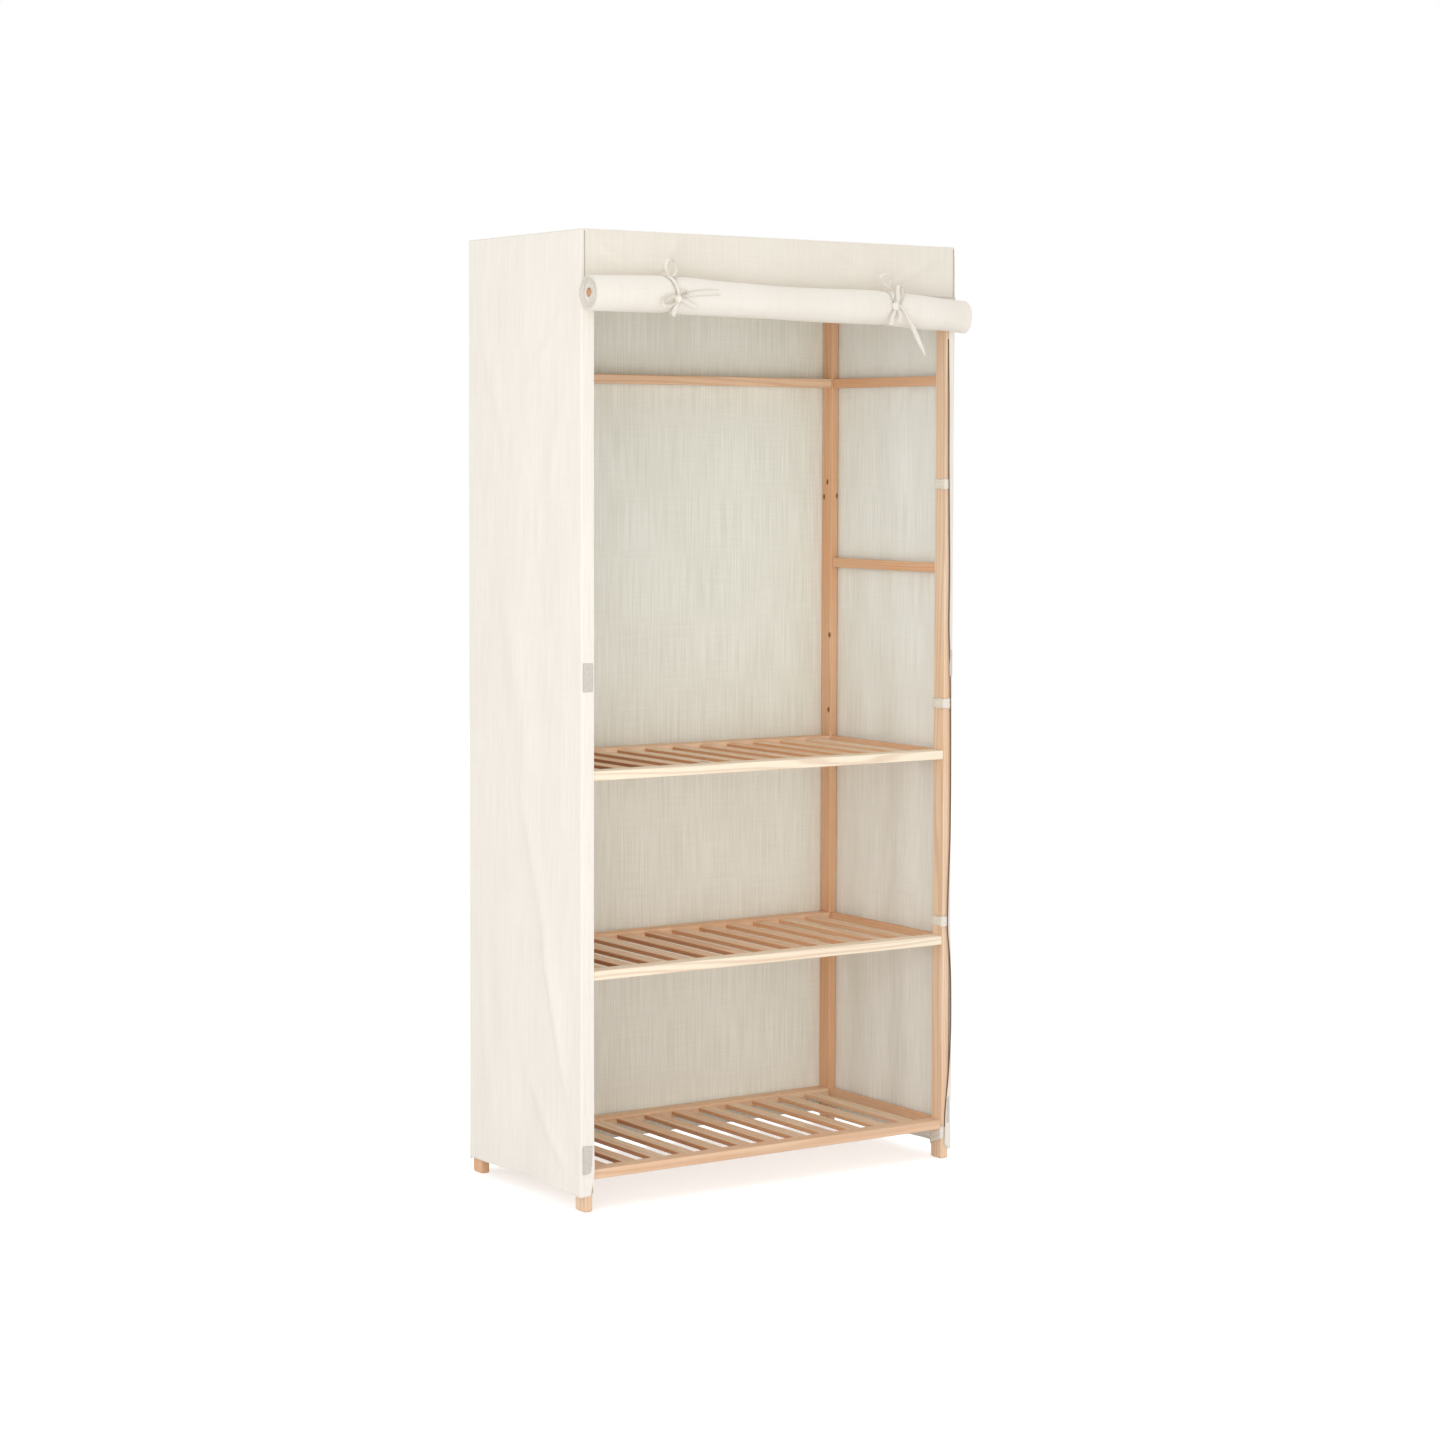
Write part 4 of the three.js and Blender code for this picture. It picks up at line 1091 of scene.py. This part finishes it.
def edging(name, side, shape):
    # a thin dark cord along the free front edge of a side cloth: painted shade for the gap between
    # the cloth's edge and the post
    z = np.linspace(edgeRow["low"], edgeRow["high"], edgeRow["count"])
    x = coverX + byHeight(shape, "flare", z) - byHeight(shape, "turnedIn", z)
    y = coverFront - edgeOff(shape, z, 1.0) + edgeRow["behind"]
    made = tube(name, stacked(side * (x - edgeRow["inside"]), y, z), edgeRow["radius"], sides=8)
    finishPiece(made, edgeShadeCord)


edging("edging_right", 1, rightSide)

seam = {"above": 0.0006, "step": 0.02, "roofRadius": 0.0012, "sideRadius": 0.0009,
        "seamShadeRadius": 0.0006, "seamShadeOff": 0.0004, "turnSteps": 7, "topSteps": 5}


def seamLines():
    # raised seams where the cloths meet: half-way round the roof's rounded edge, and down the
    # upright corners, each with a thin dark tube beside it that is painted shade between the cloths
    out = (cover["corner"] + seam["above"]) / math.sqrt(2)
    corners = ((1, -1), (1, 1), (-1, 1), (-1, -1))
    turn = np.linspace(0, np.pi / 2, seam["turnSteps"])
    coreYs = {-1: coreLow[1], 1: coreHigh[1]}
    path = []
    for number, (signX, signY) in enumerate(corners):
        angle = turn + (number - 1) * np.pi / 2
        path.append(stacked(signX * coreHigh[0] + out * np.cos(angle),
                            coreYs[signY] + out * np.sin(angle), coreHigh[2] + out))
    outline = np.concatenate(path)
    dense = []
    for start, end in zip(outline, np.roll(outline, -1, 0)):
        steps = max(1, int(np.linalg.norm(end - start) / seam["step"]))
        dense.append(start + (end - start) * np.linspace(0, 1, steps, endpoint=False)[:, None])
    roofLine = looseLeft(np.concatenate(dense))
    pieces = [tube("roof_seam", roofLine, seam["roofRadius"], closed=True)]
    upward = np.linspace(0, np.pi / 4, seam["topSteps"])[1:]
    face = cover["corner"] + cover["thickness"] + seam["seamShadeOff"]
    seamShades = []
    for signX, signY in corners:
        bottom = cover["hem"] if signY > 0 else valanceBottom
        count = int((coreHigh[2] - bottom) / seam["step"]) + 2
        straight = np.linspace(bottom, coreHigh[2], count)
        z = np.concatenate([straight, coreHigh[2] + out * math.sqrt(2) * np.sin(upward)])
        level = out * np.concatenate([np.ones(count), np.cos(upward)])
        line = stacked(signX * (coreHigh[0] + level), coreYs[signY] + signY * level, z)
        # a thin dark tube of painted shade just beside the seam
        beside = stacked(signX * coreHigh[0], coreYs[signY] + signY * face, straight)
        place = f"{'back' if signY > 0 else 'front'}_{'left' if signX < 0 else 'right'}"
        pieces.append(tube(f"seam_{place}", looseLeft(line), seam["sideRadius"]))
        seamShades.append(tube(f"groove_{place}", looseLeft(beside), seam["seamShadeRadius"]))
    for material, lines in (("piping", pieces), ("seamShade", seamShades)):
        for piece in lines:
            finishPiece(piece, coverCloth[material])
    return pieces + seamShades


seams = seamLines()


# Closing patches

patchLook = {"pile": (2600.0, 2600.0, 0.0), "pileDetail": 3.0, "pileShare": 0.6,
             "ground": (300.0, 160.0, 0.0), "groundShare": 0.4, "limits": (0.3, 0.7),
             "roughness": (0.85, 0.98), "bump": 0.7, "bumpDistance": 0.0006, "sheen": 0.3}
patchShape = {"columns": 15, "rows": 41, "sideFall": 6, "endFall": 14, "narrow": 0.10,
              "narrowFall": 12, "border": 0.0004, "swell": 0.0008, "sunk": 0.0003}


def makePatchGrey():
    # dense small loops: a fine noise for the pile and a darker woven ground
    material, tree, shader = newMaterial("closingPatch")
    place = flatPlace(tree)
    pile = noise(tree, place, patchLook["pile"], patchLook["pileDetail"])
    ground = maths(tree, "MULTIPLY", noise(tree, place, patchLook["ground"]),
                   patchLook["groundShare"])
    share = maths(tree, "MULTIPLY_ADD", pile, patchLook["pileShare"], ground)
    wire(tree, shader, {
        "Base Color": mixed(tree, ranged(tree, share, patchLook["limits"]), tint(200, 193, 185),
                            tint(222, 215, 207)),
        "Roughness": ranged(tree, pile, patchLook["limits"], patchLook["roughness"]),
        "Normal": bumped(tree, pile, patchLook["bump"], patchLook["bumpDistance"]),
        "Sheen Weight": patchLook["sheen"]})
    return material


patchGrey = makePatchGrey()


def closingPatch(node, shape):
    # a small pad with rounded corners, thicker in its middle than along its sewn border; it lies on
    # the turned-in cloth and stands off the post with it
    low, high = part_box(node)
    middleX, middleZ = (low.x + high.x) / 2, np.array((low.z + high.z) / 2)
    turned = byHeight(shape, "turnedIn", middleZ)
    share = min(1, (coverX - abs(middleX)) / float(turned))
    onCloth = high.y - float(edgeOff(shape, middleZ, share))
    a = np.linspace(-1, 1, patchShape["columns"])[None, :]
    b = np.linspace(-1, 1, patchShape["rows"])[:, None]
    swell = (1 - np.abs(a) ** patchShape["sideFall"]) * (1 - np.abs(b) ** patchShape["endFall"])
    squeeze = 1 - patchShape["narrow"] * np.abs(b) ** patchShape["narrowFall"]
    x = middleX + a * (high.x - low.x) / 2 * squeeze
    z = middleZ + b * (high.z - low.z) / 2
    inner = stacked(x, onCloth + patchShape["sunk"], z)
    outer = stacked(x, onCloth - patchShape["border"] - patchShape["swell"] * swell, z)
    made = shell(node + "_pad", looseLeft(inner), looseLeft(outer), stacked(x, z))
    return finishPiece(made, patchGrey, [node])


patches = {name: closingPatch(f"closing_patch_{name}", leftSide if "left" in name else rightSide)
           for name in ("left_lower", "left_upper", "right_lower", "right_upper")}


# Curtain

curtainWidth = {"outer": 0.03135, "top": 0.3945, "short": 0.013, "long": 0.0055, "flatter": 0.12,
                "askew": (0.30, 0.10), "stitch": 0.014}

# Along the roll: how far its middle lies above the dowel, and its radius
curtain = {
    "stepsPerTurn": 34, "cloth": 0.42,
    "place": [-0.404, -0.323, -0.267, -0.210, -0.152, -0.094, -0.034, 0.025,
              0.086, 0.178, 0.209, 0.260, 0.304, 0.336, 0.372, 0.404],
    "rise": [0.0072, 0.0086, 0.0095, 0.0080, 0.0056, 0.0040, 0.0023, 0.0008,
             0.0007, 0.0009, 0.0004, -0.0030, -0.0058, -0.0070, -0.0086, -0.0115],
    "radius": [0.0308, 0.0322, 0.0330, 0.0330, 0.0313, 0.0312, 0.0299, 0.0302,
               0.0305, 0.0318, 0.0312, 0.0314, 0.0312, 0.0300, 0.0290, 0.0308],
}
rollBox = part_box("curtain_roll")
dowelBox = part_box("curtain_dowel")
dowelRadius = (dowelBox[1].z - dowelBox[0].z) / 2
rollY = (dowelBox[0].y + dowelBox[1].y) / 2
rollZ = (dowelBox[0].z + dowelBox[1].z) / 2
rollHalf = (rollBox[1].x - rollBox[0].x) / 2
drop = next(j for j in frame["joints"] if j["name"] == "curtain_drop")
travel = abs(drop["range_m"][1])
curtainStitch = rollHalf - curtainWidth["stitch"]
curtainCloth = makeCloth("curtainCloth", tint(247, 241, 232), tint(237, 230, 218),
                         tint(251, 248, 241), [(1, -curtainStitch), (1, curtainStitch)],
                         warpSlub=0.5, weftSlub=0.3)
ties = {"left": -0.251, "right": 0.212}


def rollRise(x):
    # how far the roll's middle lies above the dowel's straight line
    return gentle(x, curtain["place"], curtain["rise"])


def rollRadius(x):
    return gentle(x, curtain["place"], curtain["radius"])


def drawnLeft(x, share):
    # the curtain was rolled a little askew, towards the left
    right = curtainWidth["short"] * share * grown(x, *curtainWidth["askew"])
    return x - right - curtainWidth["long"] * grown(-x, *curtainWidth["askew"])


# Rim: how far in the rings of the roll's ends lie. Pairs say at which share of the strip, or at
# which place, a rise starts and over how much. The inner turns close in from the share lateFrom.
rollShape = {
    "columns": 83, "rim": [0.0060, 0.0045, 0.0032, 0.0024, 0.0016, 0.0008, 0.0], "inside": 0.0009,
    "outside": 0.0006, "recess": 0.0058, "recessOver": (0.12, 0.2), "comeBack": 0.0046,
    "comeBackOver": (0.62, 0.25), "recessReach": 0.02, "bulge": 0.0006, "bulgeWide": 0.09,
    "bulgeRound": 1.4, "bulgeFall": 0.8, "pinch": 0.0014, "pinchWide": 0.009, "closing": 0.0032,
    "closingReach": 0.006, "closingOver": 0.005, "lateFrom": 0.55, "askewEase": 1.5,
    "flat": (0.35, 0.04),
}


def rolledCurtain():
    # a spiral strip round the dowel; its radius falls evenly from the outer turn to the dowel, and
    # all turns share the roll's sag, its soft bulges and the pinch under each tie. On the left the
    # inside turns end a little short of the outer ones; on the right they stand out further. At
    # both ends the inner turns close in over the dowel's rim.
    sizes = rollShape
    innerMost = dowelRadius + sizes["inside"]
    turns = travel / (np.pi * (curtainWidth["outer"] + innerMost))
    t = np.linspace(0, 1, int(turns * curtain["stepsPerTurn"]))[:, None]
    rim = np.array(sizes["rim"])
    middle = np.linspace(-rollHalf, rollHalf, sizes["columns"])[2:-2]
    x = np.concatenate([-rollHalf + rim[::-1], middle, rollHalf - rim])[None, :]

    recess = (sizes["recess"] * grown(t, *sizes["recessOver"])
              - sizes["comeBack"] * grown(t, *sizes["comeBackOver"]))
    recess = recess * grown(-x, rollHalf - sizes["recessReach"], sizes["recessReach"])
    angle = -2 * np.pi * turns * t
    wound = innerMost + (rollRadius(x) - sizes["outside"] - innerMost) * (1 - t)
    share = (wound / curtainWidth["outer"]) ** 2
    bulge = sizes["bulge"] * softNoise(x / sizes["bulgeWide"] + np.cos(angle),
                                       np.sin(angle) * sizes["bulgeRound"] + 7, 61)
    pinch = sum(np.exp(-((x - place) / sizes["pinchWide"]) ** 2) for place in ties.values())
    uneven = bulge * (1 - sizes["bulgeFall"] * t) - sizes["pinch"] * pinch
    nearEnd = sizes["closing"] * grown(np.abs(x), rollHalf - sizes["closingReach"],
                                       sizes["closingOver"])
    late = np.clip((t - sizes["lateFrom"]) / (1 - sizes["lateFrom"]), 0, 1)
    radius = wound + share * uneven - nearEnd * smoothStep(late)
    slope = nearEnd * 6 * late * (1 - late) / (1 - sizes["lateFrom"])
    half = curtain["cloth"] * (rollRadius(x) - innerMost + slope) / turns
    across = drawnLeft(x + recess, 1 - t ** sizes["askewEase"])
    narrow = 1 - curtainWidth["flatter"] * grown(x, *sizes["flat"])

    def at(r):
        return stacked(across, rollY + r * narrow * np.cos(angle),
                       rollZ + rollRise(x) + r * np.sin(angle))

    uv = stacked(x, -t * travel)
    piece = shell("curtain_roll_cloth", at(radius - half), at(radius + half), uv)
    return finishPiece(piece, curtainCloth, ["curtain_roll"], "curtain_wrap")


roll = rolledCurtain()

tip = {"thinner": 0.0034, "length": 0.009, "nose": (0.0008, 0.0006)}


def dowelTip(name, side, standsOut, seed):
    # one end of the dowel, which shows inside the last turn and follows the roll's own sag
    end = side * (rollHalf + standsOut)
    middle = rollZ + float(rollRise(np.array([side * rollHalf]))[0])
    turnedBar(name, sorted((end, end - side * tip["length"])), (rollY, middle),
              dowelRadius - tip["thinner"], tip["nose"], dowelWood, "curtain_wrap", seed)


dowelTip("dowel_tip_left", -1, 0.0050, 520)
dowelTip("dowel_tip_right", 1, 0.0002, 530)

hungShape = {
    "rows": 121, "columns": 101, "above": -0.0035, "underTop": 0.001, "overValance": 0.002,
    "overRoll": 0.001, "topY": 0.0016, "bottomY": 0.0002, "drawnEase": 12, "askewEase": 3,
    "waves": 5, "sway": 0.25, "fold": 0.0022, "soft": 0.0006, "softWide": 0.07, "softTall": 9,
    "thickness": 0.0008, "flatAtRest": 0.0265,
}


def hungCurtain():
    # rows are spaced so that they lie evenly once the cloth is let down; its folds are told by how
    # far down each row will hang
    sizes = hungShape
    low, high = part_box("curtain_sheet")
    ends = (valanceBottom + sizes["overValance"], low.z + sizes["overRoll"])
    share = np.concatenate([[sizes["above"]], np.linspace(0, 1, sizes["rows"])])[:, None]
    clipped = np.clip(share, 0, 1)
    eased = 0.5 - np.sin(np.arcsin(1 - 2 * clipped) / 3)
    z = ends[0] + (ends[1] - ends[0]) * eased
    z = np.where(share < 0, high.z - sizes["underTop"], z)
    across = np.linspace(-rollHalf, rollHalf, sizes["columns"])[None, :]
    s = (across + rollHalf) / (2 * rollHalf)
    narrower = 1 - curtainWidth["top"] / rollHalf
    drawnIn = narrower * (1 - smoothStep(clipped * sizes["drawnEase"]))
    x = drawnLeft(across * (1 - drawnIn), smoothStep(clipped * sizes["askewEase"]))
    topY, bottomY = high.y - sizes["topY"], high.y - sizes["bottomY"]
    belly = np.sin(np.pi * clipped)
    wave = sizes["waves"] * s + sizes["sway"] * np.sin(clipped * 3)
    fold = (0.5 - 0.5 * np.cos(2 * np.pi * wave)) * belly
    soft = softNoise(x / sizes["softWide"] + clipped * 2, clipped * sizes["softTall"], 71) * belly
    y = topY + (bottomY - topY) * eased - sizes["fold"] * fold - sizes["soft"] * (soft + 1) * belly
    inner = stacked(x, y, z)
    outer = inner - np.array([0, sizes["thickness"], 0])
    uv = stacked(across, valanceBottom - z + travel * clipped)
    piece = shell("curtain_sheet_cloth", inner, outer, uv)
    piece.data.materials.append(curtainCloth)
    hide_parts("curtain_sheet")
    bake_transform(piece)
    return piece


hung = hungCurtain()
print("stage: curtain")


# Ties. The band is the part of the tape that goes round the roll; its angles are in degrees.

tieTape = {"width": 0.0090, "thickness": 0.0009, "gap": 0.0006, "cup": 0.0005, "columns": 7,
           "band": (100, 320), "bandWidth": 0.0070, "bandSunk": 0.0012, "steps": 40,
           "loopSteps": 56, "wallOff": 0.0030, "stitch": 0.0009, "knotOff": 0.003}
# painted shade: the deep dark tint makes the furrows of the stitch rows near both edges draw shade
# outlines
tapeCloth = makeCloth("tieTape", tint(252, 248, 240), tint(220, 210, 196), tint(244, 238, 228),
                      [(1, tieTape["stitch"]), (1, tieTape["width"] - tieTape["stitch"])],
                      yarns=1300.0, warpSlub=0.6, weftSlub=0.9)
knot = {"rows": 17, "columns": 28, "waves": 0.10, "ripples": 0.05}


def ribbon(name, path, across, width):
    # a flat tape carried along a path; across is the direction of its width at each point
    across = unit(np.broadcast_to(np.asarray(across, float), path.shape))
    wide = np.broadcast_to(width, (len(path),))[:, None]
    normal = unit(np.cross(across, np.gradient(path, axis=0)))[:, None]
    s = np.linspace(-0.5, 0.5, tieTape["columns"])
    cup = tieTape["cup"] * (1 - (2 * s) ** 2)
    middle = path[:, None] + across[:, None] * (wide * s)[..., None] + normal * cup[:, None]
    half = normal * tieTape["thickness"] / 2
    uv = stacked((s + 0.5) * wide, lengthsAlong(path)[:, None])
    return shell(name, middle - half, middle + half, uv)


def onRoll(line, lift):
    # gives a line drawn in x and z its place in y: on the roll above its middle, on the valance
    # above the roll, and hanging straight down below the roll's middle
    x, z = line[:, 0], line[:, 1]
    radius = rollRadius(x) + lift
    up = z - rollZ - rollRise(x)
    surface = rollY - np.sqrt(np.maximum(radius ** 2 - np.maximum(up, 0) ** 2, 0))
    wall = coverFront - tieTape["wallOff"] - lift
    return np.stack([x, np.minimum(surface, wall), z], -1)


def knotOf(name, centre, size, seed):
    # a ball with three shallow waves round it, flattened from front to back
    theta = np.linspace(0, np.pi, knot["rows"])[:, None]
    phi = np.linspace(0, 2 * np.pi, knot["columns"], endpoint=False)[None, :]
    waves = knot["waves"] * np.cos(3 * phi + 4 * theta + seed) * np.sin(theta)
    swell = 1 + waves + knot["ripples"] * np.sin(7 * theta)
    points = stacked(size[0] * swell * np.sin(theta) * np.cos(phi),
                     size[1] * swell * np.sin(theta) * np.sin(phi), size[2] * swell * np.cos(theta))
    uv = stacked(phi * size[0], theta * size[2])[1:-1].reshape(-1, 2)
    faces = facesOf(knot["rows"] - 2, knot["columns"], aroundColumns=True)
    ball, faces, uv = withCaps(points[1:-1].reshape(-1, 3), faces, points[[0, -1], 0],
                               knot["columns"], uv)
    return buildMesh(name, ball + centre, turnedOut(ball, faces), uv)


def joined(name, pieces):
    # all parts of one bow as one mesh
    with bpy.context.temp_override(active_object=pieces[0], selected_editable_objects=pieces):
        bpy.ops.object.join()
    pieces[0].name = name
    return pieces[0]


def bow(name, x, lines, loops, knotSize, knotZ, node):
    # lines lie flat on what is behind them; loops stand on edge, with a place in y of their own.
    # Points are in millimetres of the frame.
    count = tieTape["steps"]
    band = np.radians(np.linspace(*tieTape["band"], count))
    reach = rollRadius(x) - tieTape["bandSunk"] + tieTape["gap"]
    path = stacked(x, rollY + reach * np.cos(band), rollZ + rollRise(x) + reach * np.sin(band))
    pieces = [ribbon(name + "_band", path, (1, 0, 0), tieTape["bandWidth"])]
    steps = np.linspace(0, 1, count)
    for number, (points, width, lift) in enumerate(lines):
        flat = onRoll(curveThrough(np.array(points) * mm, count), lift)
        across = np.cross(np.gradient(flat, axis=0), [0, 1, 0])
        wide = np.interp(steps, np.linspace(0, 1, len(width)), width)
        pieces.append(ribbon(f"{name}_end_{number}", flat, across, wide))
    for number, (points, depth, lean) in enumerate(loops):
        line = curveThrough(np.array(points) * mm, tieTape["loopSteps"])
        pieces.append(ribbon(f"{name}_loop_{number}", line, lean, depth))
    surface = onRoll(np.array([[x, knotZ]]), tieTape["knotOff"])[0]
    pieces.append(knotOf(name + "_knot", surface, knotSize, x * 90))
    made = finishPiece(joined(name, pieces), tapeCloth, [node])
    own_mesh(made)


bow(
    "tie_left_bow", ties["left"],
    lines=[
        ([(-249, 1581), (-240, 1578), (-231, 1574), (-222, 1570), (-214, 1567)],
         (0.005, 0.008, 0.008, 0.008), 0.0026),
        ([(-250, 1579), (-254, 1570), (-259, 1562), (-262, 1552)], (0.005, 0.008, 0.009), 0.0026),
        ([(-248, 1584), (-238, 1587), (-218, 1591), (-192, 1594), (-163, 1595)],
         (0.005, 0.008, 0.0095, 0.0095, 0.008), 0.0010),
        ([(-250, 1582), (-251, 1592), (-253, 1604), (-257, 1616), (-262, 1626)],
         (0.005, 0.006, 0.006, 0.005), 0.0022),
    ],
    loops=[
        ([(-251, -236, 1584), (-262, -238, 1585), (-276, -239, 1581), (-285, -239, 1574),
          (-278, -239, 1568), (-264, -238, 1570), (-252, -236, 1579)], 0.0080, (0.15, 0.75, -0.65)),
        ([(-262, -221, 1624), (-258, -207, 1633), (-253, -199, 1643), (-246, -196, 1651),
          (-239, -196, 1651), (-234, -198, 1642), (-235, -203, 1632), (-242, -211, 1626),
          (-253, -221, 1620)], 0.0075, (-0.35, 1, 0.35)),
        ([(-249, -236, 1585), (-245, -237, 1595), (-238, -237, 1598), (-232, -237, 1593),
          (-237, -236, 1588), (-247, -235, 1584)], 0.0060, (0.2, 1, 0.3)),
    ],
    knotSize=(0.0066, 0.0052, 0.0074), knotZ=1.5815, node="tie_left")
bow(
    "tie_right_bow", ties["right"],
    lines=[
        ([(212, 1579), (208, 1571), (204, 1563), (201, 1549)], (0.005, 0.008, 0.009), 0.0026),
        ([(215, 1579), (220, 1572), (221, 1565), (219, 1556)], (0.005, 0.007, 0.007), 0.0030),
        ([(215, 1586), (222, 1583), (232, 1573), (241, 1559), (250, 1545), (264, 1520),
          (278, 1496)], (0.004, 0.005, 0.006, 0.009, 0.0105, 0.008, 0.003), 0.0034),
    ],
    loops=[
        ([(212, -236, 1586), (208, -231, 1597), (214, -222, 1609), (213, -210, 1619),
          (205, -201, 1628), (204, -197, 1636), (214, -195, 1642), (227, -195, 1640),
          (230, -197, 1633), (219, -204, 1625), (216, -214, 1616), (213, -226, 1603),
          (212, -235, 1588)], 0.0085, (0.10, 1, 0.75)),
        ([(214, -236, 1588), (221, -229, 1601), (228, -218, 1613), (236, -210, 1622),
          (243, -208, 1621), (242, -213, 1611), (233, -223, 1600), (220, -233, 1588)],
         0.0080, (-0.55, 1, 0.25)),
    ],
    knotSize=(0.0070, 0.0054, 0.0078), knotZ=1.5830, node="tie_right")
print("stage: ties")


# Tabs that hold the sides to the front posts

tabs = {"width": 0.018, "thickness": 0.0009, "heights": [0.040, 0.44752, 0.85504, 1.26256],
        "lowestWidth": 0.0235, "lowestDrop": 0.004, "lowestClimb": 0.42, "gap": 0.0006,
        "round": 0.002, "onFront": 0.0002, "under": 0.002, "rightRipple": 0.0005,
        "leftRipple": 0.0003, "wave": 0.0008, "steps": 72, "columns": 13}


def postTab(name, side, height, frontReach, width, climb, creased):
    # a strap sewn to the side behind the post, round its inner face and on to its front; points are
    # told in plan and rounded by the curve through them. Past the post's back corner it may climb.
    count, bend = tabs["steps"], tabs["round"]
    inner = halfWidth - postWidth - tabs["gap"]
    behind = frontY + postDepth + tabs["gap"]
    front = coverFront - tabs["onFront"]
    plan = [(coverX, behind), (halfWidth - 2 * bend, behind), (inner + bend, behind),
            (inner, behind - bend), (inner, frontY + postDepth / 2), (inner, frontY + bend)]
    if frontReach is not None:
        plan += [(inner + bend / 2, front), (inner + 2 * bend, front),
                 (frontReach, front - 2 * tabs["onFront"])]
    line = curveThrough(plan, count)
    v = np.linspace(-0.5, 0.5, tabs["columns"])[None, :]
    run = lengthsAlong(line)[:, None]
    beyond = np.maximum(run - (coverX - inner), 0)
    wave = tabs["wave"] * np.sin(run * 260 + v * 3 + height * 40)
    z = height + v * width + climb * beyond + wave
    ahead = np.gradient(line, axis=0)
    normal = unit(np.stack([ahead[:, 1], -ahead[:, 0]], -1))
    ripple = creased * (1 + np.sin(v * 15 + run * 90 + height * 50)) * smoothStep(beyond / 0.01)
    flat = line[:, None] + normal[:, None] * ripple[..., None]
    point = np.concatenate([flat * np.array([side, 1]), z[..., None]], -1)
    lift = stacked(side * normal[:, 0], normal[:, 1], 0.0)[:, None] * tabs["thickness"]
    made = shell(name, point, point + lift, stacked(v * width, run))
    return finishPiece(made, coverCloth["piping"])


leftTabs, rightTabs = [], []
for number, height in enumerate(tabs["heights"], 1):
    reach = coverX - float(byHeight(rightSide, "turnedIn", np.array(height))) + tabs["under"]
    fit = (height, reach, tabs["width"], 0.0)
    if number == 1:
        fit = (height - tabs["lowestDrop"], reach, tabs["lowestWidth"], tabs["lowestClimb"])
    rightTabs.append(postTab(f"tab_right_{number}", 1, *fit, tabs["rightRipple"]))
    leftTabs.append(postTab(f"tab_left_{number}", -1, height, None, tabs["width"], 0.0,
                            tabs["leftRipple"]))
print("stage: tabs")
# Floor, light and camera. Lamps are name, place, width in metres and power in watts.

studio = {
    "ambient": 0.80, "floorLift": 0.52, "floorHalf": 9.0, "floorSunk": 0.0004, "floorRough": 0.9,
    "floorSpecular": 0.1, "aimHeight": 0.9,
    "lamps": [("keyLight", (-2.9, -0.9, 1.7), 1.3, 8), ("frontLight", (0.2, -4.6, 0.6), 2.4, 17),
              ("leftFrontLight", (-3.5, -3.6, 1.3), 2.4, 36),
              ("lowLight", (-0.7, -2.4, 0.25), 1.0, 5), ("topLight", (-0.4, 0.4, 4.2), 2.4, 10)],
    "camera": (-3.206, -4.914, 1.312), "yaw": 35.151, "pitch": 3.121, "roll": 0.283,
    "lens": 80.195, "sensor": 36, "shift": (-0.0823, -0.0613), "farthest": 40,
}


def seenRays(tree):
    # 1 for rays that end in the picture, straight or through a reflection, and 0 for lighting rays
    rays = addNode(tree, "ShaderNodeLightPath")
    mirrored = maths(tree, "MAXIMUM", rays["Is Glossy Ray"], rays["Is Transmission Ray"])
    return maths(tree, "MAXIMUM", rays["Is Camera Ray"], mirrored)


def makeFloor():
    # pale floor: what the camera sees is lifted to white, and the shadow stays
    corners = np.array([[-1, -1, 0], [1, -1, 0], [1, 1, 0], [-1, 1, 0]]) * studio["floorHalf"]
    floor = buildMesh("floor", corners - np.array([0, 0, studio["floorSunk"]]), [[0, 1, 2, 3]])
    material, tree, shader = newMaterial("paleFloor")
    wire(tree, shader, {
        "Base Color": tint(240, 240, 240), "Roughness": studio["floorRough"],
        "Specular IOR Level": studio["floorSpecular"], "Emission Color": (1, 1, 1, 1),
        "Emission Strength": maths(tree, "MULTIPLY", seenRays(tree), studio["floorLift"])})
    floor.data.materials.append(material)


def makeWorld():
    # white where it is seen, and the ambient light where it only lights
    scene.world = bpy.data.worlds.new("studio")
    scene.world.use_nodes = True
    tree = scene.world.node_tree
    ambient = studio["ambient"]
    wire(tree, tree.nodes["Background"].inputs, {
        "Color": (1, 1, 1, 1),
        "Strength": maths(tree, "MULTIPLY_ADD", seenRays(tree), 1 - ambient, ambient)})


def makeLamps():
    # square lamps that face the middle of the wardrobe
    for name, place, size, power in studio["lamps"]:
        light = bpy.data.lights.new(name, "AREA")
        light.size = size
        light.energy = power
        lamp = linked(name, light)
        lamp.location = place
        x, y, z = np.array([0, midY, studio["aimHeight"]]) - np.array(place)
        lamp.rotation_euler = (math.pi / 2 + math.atan2(z, math.hypot(x, y)), 0, -math.atan2(x, y))


def makeCamera():
    lens = bpy.data.cameras.new("camera")
    lens.lens = studio["lens"]
    lens.sensor_width = studio["sensor"]
    lens.shift_x, lens.shift_y = studio["shift"]
    lens.clip_end = studio["farthest"]
    camera = linked("camera", lens)
    camera.location = studio["camera"]
    tilt, yaw = math.radians(90 - studio["pitch"]), math.radians(studio["yaw"])
    camera.rotation_euler = Euler((tilt, 0, -yaw))
    camera.rotation_euler.rotate_axis("Z", math.radians(studio["roll"]))
    scene.camera = camera


makeFloor()
makeWorld()
makeLamps()
makeCamera()
print("stage: floor, light and camera")
